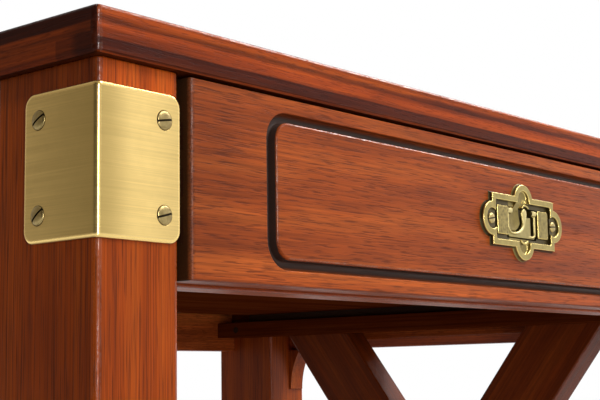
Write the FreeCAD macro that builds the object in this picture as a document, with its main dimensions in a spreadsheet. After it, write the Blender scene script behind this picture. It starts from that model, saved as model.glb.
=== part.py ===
import FreeCAD, Part
import math
import os
import Sketcher

# Campaign desk: four legs, X-braced ends, one dovetailed drawer with a flush swing-bail pull,
# brass angle brackets on the corners.  Millimetres.
# Frame: origin on the floor under the middle of the desk, +X to the right, +Y to the back, +Z up.
# The drawer opens towards -Y.

SIZES = [
    # the whole desk
    ("DeskLength", 758, "outside of the left legs to outside of the right legs"),
    ("DeskDepth", 598, "front of the front legs to back of the rear legs"),
    ("DeskHeight", 760, "floor to the top surface"),
    # top
    ("TopThick", 24, "thickness of the top"),
    ("TopOverhang", 6, "top beyond the legs all round"),
    ("LippingWidth", 32, "solid lipping round the top panel"),
    ("TopCorner", 4, "radius of the top's vertical corners"),
    ("TopRound", 2.5, "radius of the top's upper edge"),
    ("TopChamfer", 1.5, "chamfer of the top's lower edge"),
    # legs
    ("LegWidth", 55, "leg along the desk's length"),
    ("LegDepth", 80, "leg along the desk's depth"),
    ("LegRound", 3.5, "radius of the leg's long edges"),
    ("LegChamfer", 1.2, "chamfer of the leg's foot"),
    ("GlideRadius", 12, "nail-on glide, radius (sixteen-sided)"),
    ("GlideThick", 4, "nail-on glide, thickness"),
    ("GlidePin", 1.5, "glide nail, radius"),
    ("GlidePinLength", 18, "glide nail, length in the leg"),
    # rails
    ("RailThick", 20, "end and back rails"),
    ("RailHeight", 124, "end and back rails"),
    ("RailInset", 4, "rail face behind the leg face"),
    ("RailChamfer", 9, "chamfer under the inner face of an end rail"),
    ("TenonThick", 10, "tenons of the end and back rails"),
    ("TenonLength", 20, "how deep a rail goes into a leg"),
    ("TenonShoulder", 14, "rail above and below its tenon"),
    ("FrontRailDepth", 24, "rails above and below the drawer"),
    ("KickerThick", 16, "upper front rail and kickers"),
    ("RunnerThick", 16, "lower front rail and runners"),
    ("FrontShoulder", 4, "front rail round its tenon"),
    ("KneeWidth", 14, "hollow of a knee block, along the rail"),
    ("KneeHeight", 44, "hollow of a knee block, down the leg"),
    ("KneeFlat", 2, "foot of a knee block"),
    # crossed braces of the ends
    ("BraceWidth", 66, "width of a brace"),
    ("BraceInset", 1, "brace behind the inner faces of the legs"),
    ("BraceTopDrop", 22, "brace centre line at the leg, below the top"),
    ("BraceFootRise", 145, "brace centre line at the leg, above the floor"),
    ("BraceTenon", 10, "thickness of a brace tenon"),
    ("BraceTenonLength", 15, "how deep a brace goes into a leg"),
    ("BraceShoulder", 8, "brace on each side of its tenon"),
    # drawer front
    ("FrontHeight", 106, "drawer front"),
    ("FrontThick", 20, "drawer front, without the field"),
    ("FrontProud", 4, "drawer front before the legs"),
    ("FrontGap", 4.5, "drawer front to leg"),
    ("TopGap", 1.5, "drawer front to top"),
    ("StopGap", 0.5, "closed drawer front to the front rails"),
    ("FrontRound", 2.5, "edge of the drawer front"),
    ("FieldInset", 64, "end of the drawer front to the raised field"),
    ("FieldHeight", 77, "raised field"),
    ("FieldRise", 2, "raised field before the drawer front"),
    ("FieldCorner", 11, "corner radius of the raised field"),
    ("FieldRound", 1.2, "edge of the raised field"),
    ("GrooveWidth", 5.5, "groove round the field"),
    ("GrooveDepth", 5, "groove round the field"),
    # drawer box
    ("SideThick", 12, "drawer sides"),
    ("SideHeight", 73, "drawer sides"),
    ("BackRoom", 38, "closed drawer to the back rail"),
    ("BackThick", 12, "drawer back"),
    ("BackDrop", 6, "drawer back below the sides"),
    ("BottomThick", 6, "drawer bottom"),
    ("BottomLift", 8, "drawer bottom above the lower edge of the sides"),
    ("BottomGroove", 6, "how far the bottom goes into sides and front"),
    ("TailLength", 14, "lap of the front dovetails"),
    ("TailRoot", 11, "narrow end of a dovetail"),
    ("TailFlare", 2, "how much a dovetail widens on each side"),
    ("FrontTails", 3, "dovetails at each front corner"),
    ("BackTails", 2, "dovetails at each back corner"),
    ("SlideGap", 0.3, "drawer sides above the runners"),
    ("Headroom", 4, "drawer sides below the kickers"),
    ("GuideClear", 0.5, "drawer sides to the guides"),
    ("GuideHeight", 18, "guide above the runner"),
    ("RunnerWidth", 28, "runners and kickers"),
    # corner brackets
    ("BracketHeight", 76.5, "angle bracket"),
    ("BracketThick", 2, "angle bracket"),
    ("BracketDrop", 13, "bracket below the end of the leg"),
    ("BracketSetback", 0.8, "bracket short of the inner edge of the leg"),
    ("BracketCorner", 4, "corner radius of the bracket"),
    ("BracketScrewSide", 11.5, "screw centre to the flange's end"),
    ("BracketScrewEnd", 14, "screw centre to the flange's upper or lower edge"),
    # drawer pull
    ("PullRise", 2, "centre of the pull above the middle of the drawer front"),
    ("PlateLength", 80.5, "rectangle of the plate, without the lobes"),
    ("PlateHeight", 35.3, "rectangle of the plate, without the lobes"),
    ("PlateThick", 3, "plate before the field"),
    ("PlateRim", 4.6, "rim round the lobes"),
    ("PlateRound", 0.7, "edge of the plate"),
    ("LobeWidth", 23.2, "lobe where it meets the rectangle"),
    ("UpperLobeRise", 8.8, "upper and lower lobes"),
    ("SideLobeRise", 11.5, "side lobes"),
    ("LobeSink", 1.5, "hollow of the lobes"),
    ("PanLength", 71.6, "pan of the pull"),
    ("PanHeight", 25.8, "pan of the pull"),
    ("PanDepth", 7, "pan below the rim"),
    ("PanWall", 1.5, "wall and floor of the pan"),
    ("PanClear", 0.3, "pan in its mortise"),
    ("LugWidth", 14.5, "hinge lug"),
    ("LugHeight", 20, "hinge lug"),
    ("LugDrop", 0.8, "hinge lug below the rim"),
    ("LugRound", 0.8, "edge of a hinge lug"),
    ("LugSpacing", 38, "room between the lugs"),
    # swing bail and its pins
    ("BailSideClear", 0.4, "bail to lug"),
    ("BailThick", 3.2, "bail"),
    ("BailLift", 1.7, "bail above the floor of the pan"),
    ("BailDrop", 10.8, "lower edge of the bail below the centre"),
    ("BailArm", 2.4, "width of an arm"),
    ("BailBar", 3.8, "lower bar at the basin"),
    ("BailCorner", 2.5, "outer lower corners"),
    ("PivotRise", 7.5, "pivot above the centre of the pull"),
    ("EyeRadius", 2.3, "eye round the pin"),
    ("EyeLength", 5.6, "eye along the pin"),
    ("PinRadius", 1, "hinge pin"),
    ("PinClear", 0.06, "running clearance round a hinge pin"),
    ("PinInEye", 4.6, "hinge pin inside the eye"),
    ("PinInLug", 8, "hinge pin inside the lug"),
    ("ProngShift", 3.3, "prong to the right of the centre"),
    ("ProngWidth", 5.2, "neck of the prong"),
    ("KnobRadius", 4, "head of the prong"),
    ("KnobRise", 6, "middle of the head above the centre of the pull"),
    ("KnobDome", 0.8, "head before the bail"),
    ("SlotWidth", 4.3, "slot beside the right arm"),
    ("WebRise", 4.2, "web beside the prong, above the centre"),
    ("BasinFoot", 6, "flat floor of the basin ends this far left of the centre"),
    ("BasinSide", 1.4, "slope of the basin meets the prong this far below the centre"),
    # screws: head radius, countersink, dome, shank radius, length
    ("BracketHead", 5, "bracket screw head radius"),
    ("BracketSink", 2.8, "bracket screw countersink"),
    ("BracketDome", 1.2, "bracket screw dome"),
    ("BracketShank", 2.2, "bracket screw shank radius"),
    ("BracketScrew", 22, "bracket screw length"),
    ("PullHead", 3.7, "pull screw head radius"),
    ("PullSink", 0.8, "pull screw countersink"),
    ("PullDome", 1.5, "pull screw dome"),
    ("PullShank", 1.6, "pull screw shank radius"),
    ("PullScrew", 15, "pull screw length"),
    ("SinkShare", 0.8, "sloping part of a countersink"),
    ("SlotWide", 1.1, "screw slot width"),
    ("SlotDeep", 0.9, "screw slot depth"),
    ("WoodHead", 4, "wood screw head radius"),
    ("WoodSink", 2.2, "wood screw countersink"),
    ("WoodShank", 2, "wood screw shank radius"),
    ("TopScrew", 30, "top screw length"),
    ("RunnerScrew", 46, "runner screw length"),
    ("BraceScrew", 42, "brace screw length"),
    ("LapScrew", 26, "screw through the crossing of two braces"),
    ("BottomScrew", 18, "drawer bottom screw length"),
    ("BottomShank", 1.3, "drawer bottom screw shank radius"),
    ("BottomHead", 2.8, "drawer bottom screw head radius"),
    ("BottomSink", 1.4, "drawer bottom screw countersink"),
]

SCREW_SLOT_ANGLES = [12, 18, -35, 40]      # the four bracket screws stop at different turns
PULL_SLOT_ANGLES = [8, 4]
PAST = 1.5                                 # a cutting solid reaches this far past what it cuts
SEEN_SIDES, HIDDEN_SIDES = 10, 6           # screws and nails are many-sided, to keep them light

doc = FreeCAD.newDocument("campaign_desk")
sheet = doc.addObject("Spreadsheet::Sheet", "Sizes")


class Dim:
    """A number together with the spreadsheet formula that gives it."""

    def __init__(self, number, formula):
        self.number = float(number)
        self.formula = formula

    def __add__(self, other):
        other = dim(other)
        return Dim(self.number + other.number, "(%s + %s)" % (self.formula, other.formula))

    def __sub__(self, other):
        other = dim(other)
        return Dim(self.number - other.number, "(%s - %s)" % (self.formula, other.formula))

    def __mul__(self, other):
        other = dim(other)
        return Dim(self.number * other.number, "(%s * %s)" % (self.formula, other.formula))

    def __truediv__(self, other):
        other = dim(other)
        return Dim(self.number / other.number, "(%s / %s)" % (self.formula, other.formula))

    def __neg__(self):
        return Dim(-self.number, "(0 - %s)" % self.formula)

    __radd__ = __add__
    __rmul__ = __mul__

    def __rsub__(self, other):
        return dim(other) - self


def dim(value):
    return value if isinstance(value, Dim) else Dim(value, repr(float(value)))


def turn(rise, run):
    """Angle in degrees of a slope."""
    slope = rise / run
    return Dim(math.degrees(math.atan(slope.number)), "atan(%s)" % slope.formula)


def sine(angle):
    return Dim(math.sin(math.radians(angle.number)), "sin(%s)" % angle.formula)


def cosine(angle):
    return Dim(math.cos(math.radians(angle.number)), "cos(%s)" % angle.formula)


class Sizes:
    pass


size = Sizes()
for line, (alias, number, meaning) in enumerate(SIZES, start=1):
    sheet.set("A%d" % line, alias)
    sheet.set("B%d" % line, str(number))
    sheet.set("C%d" % line, meaning)
    sheet.setAlias("B%d" % line, alias)
    setattr(size, alias, Dim(number, "Sizes.%s" % alias))
doc.recompute()


# ---------------------------------------------------------------- building helpers

def vector(x, y, z):
    return FreeCAD.Vector(x, y, z)


def bind(obj, prop, value):
    obj.setExpression(prop, dim(value).formula)


def place(obj, x, y, z, axis=None, angle=None):
    """Put an object at bound coordinates, turned about an axis by a plain or a bound angle."""
    if axis is not None:
        obj.Placement = FreeCAD.Placement(vector(0, 0, 0), FreeCAD.Rotation(axis, dim(angle).number))
        if isinstance(angle, Dim):
            bind(obj, "Placement.Rotation.Angle", angle)
    bind(obj, "Placement.Base.x", x)
    bind(obj, "Placement.Base.y", y)
    bind(obj, "Placement.Base.z", z)
    return obj


def block(name, x, y, z):
    """A box between pairs of coordinates."""
    box = doc.addObject("Part::Box", name)
    bind(box, "Length", x[1] - x[0])
    bind(box, "Width", y[1] - y[0])
    bind(box, "Height", z[1] - z[0])
    return place(box, x[0], y[0], z[0])


TURNS = {"+z": (vector(0, 0, 1), 0), "-z": (vector(1, 0, 0), 180),
         "+x": (vector(0, 1, 0), 90), "-x": (vector(0, 1, 0), -90),
         "+y": (vector(1, 0, 0), -90), "-y": (vector(1, 0, 0), 90)}


def rod(name, radius, length, start, way):
    """A cylinder that runs from a point along an axis."""
    cylinder = doc.addObject("Part::Cylinder", name)
    bind(cylinder, "Radius", radius)
    bind(cylinder, "Height", length)
    return place(cylinder, *start, *TURNS[way])


def cut(name, base, tools):
    """Base less all tools."""
    result = doc.addObject("Part::Cut", name)
    result.Base = base
    result.Tool = tools[0] if len(tools) == 1 else group(name + "_tools", tools)
    result.Refine = True
    return result


def fuse(name, shapes):
    result = doc.addObject("Part::MultiFuse", name)
    result.Shapes = shapes
    result.Refine = True
    return result


def common(name, first, second):
    result = doc.addObject("Part::MultiCommon", name)
    result.Shapes = [first, second]
    return result


def prism(name, sides, radius, low, high):
    """A many-sided upright bar."""
    bar = doc.addObject("Part::Prism", name)
    bar.Polygon = sides
    bind(bar, "Circumradius", radius)
    bind(bar, "Height", high - low)
    return place(bar, dim(0), dim(0), low)


def group(name, parts):
    result = doc.addObject("Part::Compound", name)
    result.Links = parts
    return result


def mirror(name, source, normal):
    """The same piece on the other side of the desk's middle plane."""
    result = doc.addObject("Part::Mirroring", name)
    result.Source = source
    result.Base = vector(0, 0, 0)
    result.Normal = normal
    return result


def near(number, target):
    return abs(number - dim(target).number) < 0.01


def edges_where(shape, test):
    """Numbers of the edges that pass a test."""
    return [number for number, edge in enumerate(shape.Edges, start=1) if test(edge)]


def edge_in(**planes):
    """Test for edges whose ends lie in the given planes, such as z=height."""
    return lambda edge: all(near(getattr(vertex.Point, axis), value)
                            for vertex in edge.Vertexes for axis, value in planes.items())


def edge_upright(edge):
    """Test for vertical edges."""
    along = edge.Vertexes[-1].Point - edge.Vertexes[0].Point
    return abs(along.z) > 1 and abs(along.x) + abs(along.y) < 0.01


def either(*tests):
    return lambda edge: any(test(edge) for test in tests)


def soften(name, base, kind, amount, test):
    """Fillet or chamfer of a primitive or boolean."""
    doc.recompute()
    result = doc.addObject("Part::" + kind, name)
    result.Base = base
    result.Edges = [(n, amount.number, amount.number) for n in edges_where(base.Shape, test)]
    return result


def signed(side, inner, outer):
    """A pair of coordinates on the left (-1) or right (+1) side, in rising order."""
    return (inner, outer) if side > 0 else (-outer, -inner)


def both_ways(half):
    return (-half, half)


def start_body(name):
    return doc.addObject("PartDesign::Body", name)


def open_sketch(body, name, role, offset):
    """A sketch on one of the body's own origin planes, moved along its normal."""
    sketch = body.newObject("Sketcher::SketchObject", name)
    plane = [feature for feature in body.Origin.OriginFeatures if feature.Role == role][0]
    sketch.AttachmentSupport = [(plane, "")]
    sketch.MapMode = "FlatFace"
    bind(sketch, "AttachmentOffset.Base.z", offset)
    return sketch


def pin_down(sketch, geometry, end, point, label):
    """Tie one end of a line or arc to bound coordinates."""
    for kind, value in (("DistanceX", point[0]), ("DistanceY", point[1])):
        value = dim(value)
        number = sketch.addConstraint(
            Sketcher.Constraint(kind, -1, 1, geometry, end, value.number))
        name = "%s%s" % (label, kind[-1])
        sketch.renameConstraint(number, name)
        sketch.setExpression("Constraints." + name, value.formula)


def outline(sketch, corners, arcs=None):
    """A closed outline.  arcs gives, by corner number, the radius of the arc that leaves it."""
    arcs = arcs or {}
    points = [vector(dim(x).number, dim(y).number, 0) for x, y in corners]
    first = sketch.GeometryCount
    count = len(points)
    for number, begin in enumerate(points):
        finish = points[(number + 1) % count]
        if number in arcs:
            sketch.addGeometry(bulging_arc(begin, finish, arcs[number].number), False)
        else:
            sketch.addGeometry(Part.LineSegment(begin, finish), False)
    for number in range(count):
        following = (number + 1) % count
        sketch.addConstraint(
            Sketcher.Constraint("Coincident", first + number, 2, first + following, 1))
    for number, corner in enumerate(corners):
        pin_down(sketch, first + number, 1, corner, "p%d_%d" % (first, number))
    for number, radius in arcs.items():
        made = sketch.addConstraint(
            Sketcher.Constraint("Radius", first + number, radius.number))
        name = "r%d_%d" % (first, number)
        sketch.renameConstraint(made, name)
        sketch.setExpression("Constraints." + name, radius.formula)


def bulging_arc(begin, finish, radius):
    """Counter-clockwise arc of at most half a turn between two points."""
    chord = finish - begin
    middle = (begin + finish) * 0.5
    depth = math.sqrt(max(radius * radius - chord.Length * chord.Length / 4, 0))
    left = vector(-chord.y, chord.x, 0)
    left.normalize()
    centre = middle + left * depth
    start_angle = math.atan2(begin.y - centre.y, begin.x - centre.x)
    end_angle = math.atan2(finish.y - centre.y, finish.x - centre.x)
    circle = Part.Circle(centre, vector(0, 0, 1), radius)
    return Part.ArcOfCircle(circle, start_angle, end_angle)


def rectangle(sketch, x, y):
    outline(sketch, [(x[0], y[0]), (x[1], y[0]), (x[1], y[1]), (x[0], y[1])])


def rounded_rectangle(sketch, x, y, radius):
    outline(sketch,
            [(x[0] + radius, y[0]), (x[1] - radius, y[0]), (x[1], y[0] + radius),
             (x[1], y[1] - radius), (x[1] - radius, y[1]), (x[0] + radius, y[1]),
             (x[0], y[1] - radius), (x[0], y[0] + radius)],
            {1: radius, 3: radius, 5: radius, 7: radius})


def ring(sketch, centre, radius):
    """A full circle."""
    number = sketch.addGeometry(
        Part.Circle(vector(dim(centre[0]).number, dim(centre[1]).number, 0),
                    vector(0, 0, 1), radius.number), False)
    pin_down(sketch, number, 3, centre, "c%d_" % number)
    made = sketch.addConstraint(Sketcher.Constraint("Radius", number, radius.number))
    name = "cr%d" % number
    sketch.renameConstraint(made, name)
    sketch.setExpression("Constraints." + name, radius.formula)


def pad(body, name, sketch, length, reverse=False):
    feature = body.newObject("PartDesign::Pad", name)
    feature.Profile = sketch
    feature.Reversed = reverse
    bind(feature, "Length", length)
    return feature


def pocket(body, name, sketch, length):
    """Cuts against the sketch's normal, and must take something away."""
    doc.recompute()
    before = body.Shape.Volume
    feature = body.newObject("PartDesign::Pocket", name)
    feature.Profile = sketch
    bind(feature, "Length", length)
    doc.recompute()
    if not body.Shape.Volume < before:
        raise RuntimeError("%s cuts nothing" % name)
    return feature


def dress(body, name, kind, base, radius, test):
    """PartDesign fillet or chamfer of the edges that pass a test."""
    doc.recompute()
    feature = body.newObject("PartDesign::" + kind, name)
    names = ["Edge%d" % number for number in edges_where(base.Shape, test)]
    feature.Base = (base, names)
    bind(feature, "Radius" if kind == "Fillet" else "Size", radius)
    return feature


# ---------------------------------------------------------------- levels and planes

half_length = size.DeskLength / 2
half_depth = size.DeskDepth / 2
under_top = size.DeskHeight - size.TopThick
leg_inner_x = half_length - size.LegWidth
leg_inner_y = half_depth - size.LegDepth
rail_out_x = half_length - size.RailInset
rail_in_x = rail_out_x - size.RailThick
rail_out_y = half_depth - size.RailInset
rail_in_y = rail_out_y - size.RailThick
rail_low = under_top - size.RailHeight

front_back_y = size.FrontThick - size.FrontProud - half_depth
front_face_y = front_back_y - size.FrontThick
field_face_y = front_face_y - size.FieldRise
front_rail_y = (front_back_y + size.StopGap, front_back_y + size.StopGap + size.FrontRailDepth)
front_half = leg_inner_x - size.FrontGap
front_high = under_top - size.TopGap
front_low = front_high - size.FrontHeight
front_middle = (front_high + front_low) / 2

side_high = under_top - size.KickerThick - size.Headroom
side_low = side_high - size.SideHeight
runner_high = side_low - size.SlideGap
box_end_y = rail_in_y - size.BackRoom
bottom_low = side_low + size.BottomLift
bottom_high = bottom_low + size.BottomThick

LEFT, RIGHT = -1, 1
FRONT, REAR = -1, 1
SIDE_NAMES = {LEFT: "left", RIGHT: "right"}
END_NAMES = {FRONT: "front", REAR: "rear"}
ACROSS = vector(1, 0, 0)
ALONG = vector(0, 1, 0)

pieces = {}                                # node name -> document object


def keep(name, obj):
    """Name a finished piece: its label names its file."""
    obj.Label = name
    pieces[name] = obj
    return obj


# ---------------------------------------------------------------- screws

def screw_pattern(name, sides, head, sink, shank, length, dome=None):
    """One countersunk screw with its head at the origin facing +Z and its shank down -Z."""
    top = dome if dome is not None else dim(0)
    button = prism(name + "_head", sides, head, -sink, top)
    button = soften(name + "_countersink", button, "Chamfer", sink * size.SinkShare,
                    edge_in(z=-sink))
    shaft = prism(name + "_shank", sides, shank, -length, -sink / 2)
    solid = fuse(name + "_blank", [button, shaft])
    if dome is None:
        return solid
    notch = block(name + "_notch", both_ways(head), both_ways(size.SlotWide / 2),
                  (dome - size.SlotDeep, dome + PAST))
    return cut(name, solid, [notch])


def drive(name, pattern, x, y, z, way, spin=0):
    """A copy of a screw at a point, its head facing the given way."""
    link = doc.addObject("App::Link", name)
    link.LinkedObject = pattern
    link.LinkTransform = False
    axis, angle = TURNS[way]
    turned = FreeCAD.Rotation(axis, angle).multiply(FreeCAD.Rotation(vector(0, 0, 1), spin))
    link.Placement = FreeCAD.Placement(vector(0, 0, 0), turned)
    return place(link, x, y, z)


bracket_screw = screw_pattern("bracket_screw", SEEN_SIDES, size.BracketHead, size.BracketSink,
                              size.BracketShank, size.BracketScrew, size.BracketDome)
pull_screw = screw_pattern("pull_screw", SEEN_SIDES, size.PullHead, size.PullSink,
                           size.PullShank, size.PullScrew, size.PullDome)
bottom_screw = screw_pattern("bottom_screw", HIDDEN_SIDES, size.BottomHead, size.BottomSink,
                             size.BottomShank, size.BottomScrew)
top_screw, runner_screw, brace_screw, lap_screw = [
    screw_pattern(name, HIDDEN_SIDES, size.WoodHead, size.WoodSink, size.WoodShank, length)
    for name, length in (("top_screw", size.TopScrew), ("runner_screw", size.RunnerScrew),
                         ("brace_screw", size.BraceScrew), ("lap_screw", size.LapScrew))]


# ---------------------------------------------------------------- rails with their tenons

def end_rail(side):
    """Rail of one end, chamfered under its inner face, with a tenon into each leg."""
    name = "%s_end_rail" % SIDE_NAMES[side]
    x = signed(side, rail_in_x, rail_out_x)
    board = block(name + "_board", x, both_ways(leg_inner_y), (rail_low, under_top))
    inner_x = rail_in_x * side
    board = soften(name + "_eased", board, "Chamfer", size.RailChamfer,
                   edge_in(x=inner_x, z=rail_low))
    middle = (rail_in_x + rail_out_x) / 2
    tenon_x = signed(side, middle - size.TenonThick / 2, middle + size.TenonThick / 2)
    tenon_z = (rail_low + size.TenonShoulder, under_top - size.TenonShoulder)
    tenons = [block("%s_%s_tenon" % (name, END_NAMES[end]), tenon_x,
                    signed(end, leg_inner_y, leg_inner_y + size.TenonLength), tenon_z)
              for end in (FRONT, REAR)]
    return board, tenons


def cross_rail(name, y, z, tenon_y, tenon_z):
    """Rail between two legs, with a tenon into each."""
    board = block(name + "_board", both_ways(leg_inner_x), y, z)
    tenons = [block("%s_%s_tenon" % (name, SIDE_NAMES[side]),
                    signed(side, leg_inner_x, leg_inner_x + size.TenonLength),
                    tenon_y, tenon_z)
              for side in (LEFT, RIGHT)]
    return board, tenons


rails = {}
for side in (LEFT, RIGHT):
    rails["%s_end_rail" % SIDE_NAMES[side]] = end_rail(side)
back_middle = (rail_in_y + rail_out_y) / 2
rails["back_rail"] = cross_rail(
    "back_rail", (rail_in_y, rail_out_y), (rail_low, under_top),
    (back_middle - size.TenonThick / 2, back_middle + size.TenonThick / 2),
    (rail_low + size.TenonShoulder, under_top - size.TenonShoulder))
for name, z in (("front_top_rail", (under_top - size.KickerThick, under_top)),
                ("front_lower_rail", (runner_high - size.RunnerThick, runner_high))):
    rails[name] = cross_rail(
        name, front_rail_y, z,
        (front_rail_y[0] + size.FrontShoulder, front_rail_y[1] - size.FrontShoulder),
        (z[0] + size.FrontShoulder, z[1] - size.FrontShoulder))


# ---------------------------------------------------------------- crossed braces

brace_out_x = rail_in_x
brace_in_x = leg_inner_x + size.BraceInset
brace_mid_x = (brace_in_x + brace_out_x) / 2
brace_top = under_top - size.BraceTopDrop
brace_centre_z = (brace_top + size.BraceFootRise) / 2
brace_slope = turn(brace_top - size.BraceFootRise, 2 * leg_inner_y)
brace_reach = size.DeskHeight * 1.5       # longer than any brace before its ends are cut


def slanted_bar(name, side, x, width, lean):
    """A bar through the middle of an end, rising to the rear (+1) or to the front (-1)."""
    bar = doc.addObject("Part::Box", name)
    low, high = signed(side, *x)
    bind(bar, "Length", high - low)
    bind(bar, "Width", brace_reach)
    bind(bar, "Height", width)
    angle = brace_slope * lean
    half_run = brace_reach / 2
    half_width = width / 2
    return place(bar, low,
                 sine(angle) * half_width - cosine(angle) * half_run,
                 brace_centre_z - sine(angle) * half_run - cosine(angle) * half_width,
                 ACROSS, angle)


def brace_pair(side):
    """The two braces of one end: half-lapped where they cross, tenoned into the legs."""
    made = {}
    room = block("%s_brace_room" % SIDE_NAMES[side], signed(side, brace_in_x, brace_out_x),
                 both_ways(leg_inner_y), (size.GlideThick, under_top))
    deep = leg_inner_y + size.BraceTenonLength
    tenon_x = (brace_mid_x - size.BraceTenon / 2, brace_mid_x + size.BraceTenon / 2)
    tenon_room = block("%s_brace_tenon_room" % SIDE_NAMES[side], signed(side, *tenon_x),
                       both_ways(deep), (size.GlideThick, under_top - size.TenonShoulder))
    for lean, word in ((1, "rising"), (-1, "falling")):
        name = "%s_%s_brace" % (SIDE_NAMES[side], word)
        bar = slanted_bar(name + "_bar", side, (brace_in_x, brace_out_x), size.BraceWidth, lean)
        main = common(name + "_main", bar, room)
        core = slanted_bar(name + "_core", side, tenon_x,
                           size.BraceWidth - 2 * size.BraceShoulder, lean)
        tenon = common(name + "_tenons", core, tenon_room)
        # the rising brace keeps its outer half at the crossing, the falling one its inner half
        lost = (brace_in_x, brace_mid_x) if lean > 0 else (brace_mid_x, brace_out_x)
        lap = slanted_bar(name + "_lap", side, lost, size.BraceWidth, -lean)
        made[name] = (main, tenon, lap)
    return made


braces = {}
for side in (LEFT, RIGHT):
    braces.update(brace_pair(side))


# ---------------------------------------------------------------- fastener positions

bracket_low = under_top - size.BracketDrop - size.BracketHeight
flange_end = size.LegWidth - size.BracketSetback
bracket_heights = [bracket_low + size.BracketHeight - size.BracketScrewEnd,
                   bracket_low + size.BracketScrewEnd]


def corner_screws(side, end):
    """Two screws in each flange of one bracket."""
    made = []
    inset = flange_end - size.BracketScrewSide
    face_x = (half_length + size.BracketThick) * side
    face_y = (half_depth + size.BracketThick) * end
    on_face_x = (half_length - inset) * side
    on_face_y = (half_depth - inset) * end
    name = "%s_%s_bracket_screw" % (END_NAMES[end], SIDE_NAMES[side])
    for number, z in enumerate(bracket_heights):
        made.append(drive("%s_a%d" % (name, number), bracket_screw, on_face_x, face_y, z,
                          "-y" if end < 0 else "+y", SCREW_SLOT_ANGLES[number]))
        made.append(drive("%s_b%d" % (name, number), bracket_screw, face_x, on_face_y, z,
                          "-x" if side < 0 else "+x", SCREW_SLOT_ANGLES[number + 2]))
    return made


bracket_screws = {(side, end): corner_screws(side, end)
                  for side in (LEFT, RIGHT) for end in (FRONT, REAR)}

runner_in_x = leg_inner_x - size.RunnerWidth
runner_y = (front_rail_y[1], rail_in_y)
runner_screw_y = {FRONT: (front_rail_y[1] - leg_inner_y) / 2, REAR: (leg_inner_y + rail_in_y) / 2}
runner_screws = {(side, end): drive(
    "%s_%s_runner_screw" % (END_NAMES[end], SIDE_NAMES[side]), runner_screw,
    runner_in_x * side, runner_screw_y[end], runner_high - size.RunnerThick / 2,
    "-x" if side > 0 else "+x") for side in (LEFT, RIGHT) for end in (FRONT, REAR)}

kicker_mid_x = (runner_in_x + leg_inner_x) / 2
top_screws = {(side, end): drive(
    "%s_%s_top_screw" % (END_NAMES[end], SIDE_NAMES[side]), top_screw,
    kicker_mid_x * side, half_depth * 0.5 * end, under_top - size.KickerThick, "-z")
    for side in (LEFT, RIGHT) for end in (FRONT, REAR)}
rail_screws = {side: drive(
    "%s_rail_top_screw" % SIDE_NAMES[side], top_screw, half_length * 0.5 * side,
    (front_rail_y[0] + front_rail_y[1]) / 2, under_top - size.KickerThick, "-z")
    for side in (LEFT, RIGHT)}

screw_run = size.BraceWidth / 2            # brace screw to the leg, along the depth
brace_rise = (brace_top - size.BraceFootRise) / (2 * leg_inner_y)
brace_screws = {(side, end): drive(
    "%s_%s_brace_screw" % (END_NAMES[end], SIDE_NAMES[side]), brace_screw,
    brace_in_x * side, (leg_inner_y - screw_run) * end,
    brace_top - screw_run * brace_rise, "-x" if side > 0 else "+x")
    for side in (LEFT, RIGHT) for end in (FRONT, REAR)}
lap_screws = {side: drive(
    "%s_lap_screw" % SIDE_NAMES[side], lap_screw, brace_in_x * side, dim(0), brace_centre_z,
    "-x" if side > 0 else "+x") for side in (LEFT, RIGHT)}


def glide(side, end):
    """Nail-on glide under one leg."""
    name = "%s_%s_glide" % (END_NAMES[end], SIDE_NAMES[side])
    x = (half_length - size.LegWidth / 2) * side
    y = (half_depth - size.LegDepth / 2) * end
    disc = prism(name + "_disc", 16, size.GlideRadius, dim(0), size.GlideThick)
    nail = prism(name + "_nail", HIDDEN_SIDES, size.GlidePin, size.GlideThick,
                 size.GlideThick + size.GlidePinLength)
    return place(fuse(name, [disc, nail]), x, y, dim(0))


glides = {(side, end): glide(side, end) for side in (LEFT, RIGHT) for end in (FRONT, REAR)}


# ---------------------------------------------------------------- legs

def leg(side, end):
    """Post with rounded edges, mortised for the rails and braces that meet it."""
    name = "%s_%s_leg" % (END_NAMES[end], SIDE_NAMES[side])
    body = start_body(name + "_post")
    sketch = open_sketch(body, name + "_section", "XY_Plane", size.GlideThick)
    rectangle(sketch, signed(side, leg_inner_x, half_length), signed(end, leg_inner_y, half_depth))
    post = pad(body, name + "_pad", sketch, under_top - size.GlideThick)
    rounded = dress(body, name + "_round", "Fillet", post, size.LegRound, edge_upright)
    dress(body, name + "_foot", "Chamfer", rounded, size.LegChamfer, edge_in(z=size.GlideThick))
    end_tenons = rails["%s_end_rail" % SIDE_NAMES[side]][1]
    tools = [end_tenons[0 if end == FRONT else 1]]
    crossing = ["front_top_rail", "front_lower_rail"] if end == FRONT else ["back_rail"]
    tools += [rails[rail][1][0 if side == LEFT else 1] for rail in crossing]
    tools += [braces["%s_%s_brace" % (SIDE_NAMES[side], word)][1]
              for word in ("rising", "falling")]
    tools += bracket_screws[side, end] + [runner_screws[side, end], glides[side, end]]
    return keep(name, cut(name, body, tools))


for side in (LEFT, RIGHT):
    for end in (FRONT, REAR):
        leg(side, end)


# ---------------------------------------------------------------- finished rails and braces

for side in (LEFT, RIGHT):
    name = "%s_end_rail" % SIDE_NAMES[side]
    board, tenons = rails[name]
    drilled = cut(name + "_drilled", board, [brace_screws[side, FRONT], brace_screws[side, REAR]])
    keep(name, fuse(name, [drilled] + tenons))

for name, end, others in (("back_rail", REAR, []), ("front_lower_rail", FRONT, []),
                          ("front_top_rail", FRONT, list(rail_screws.values()))):
    whole = fuse(name + "_whole", [rails[name][0]] + rails[name][1])
    keep(name, cut(name, whole, bracket_screws[LEFT, end] + bracket_screws[RIGHT, end] + others))

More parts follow.
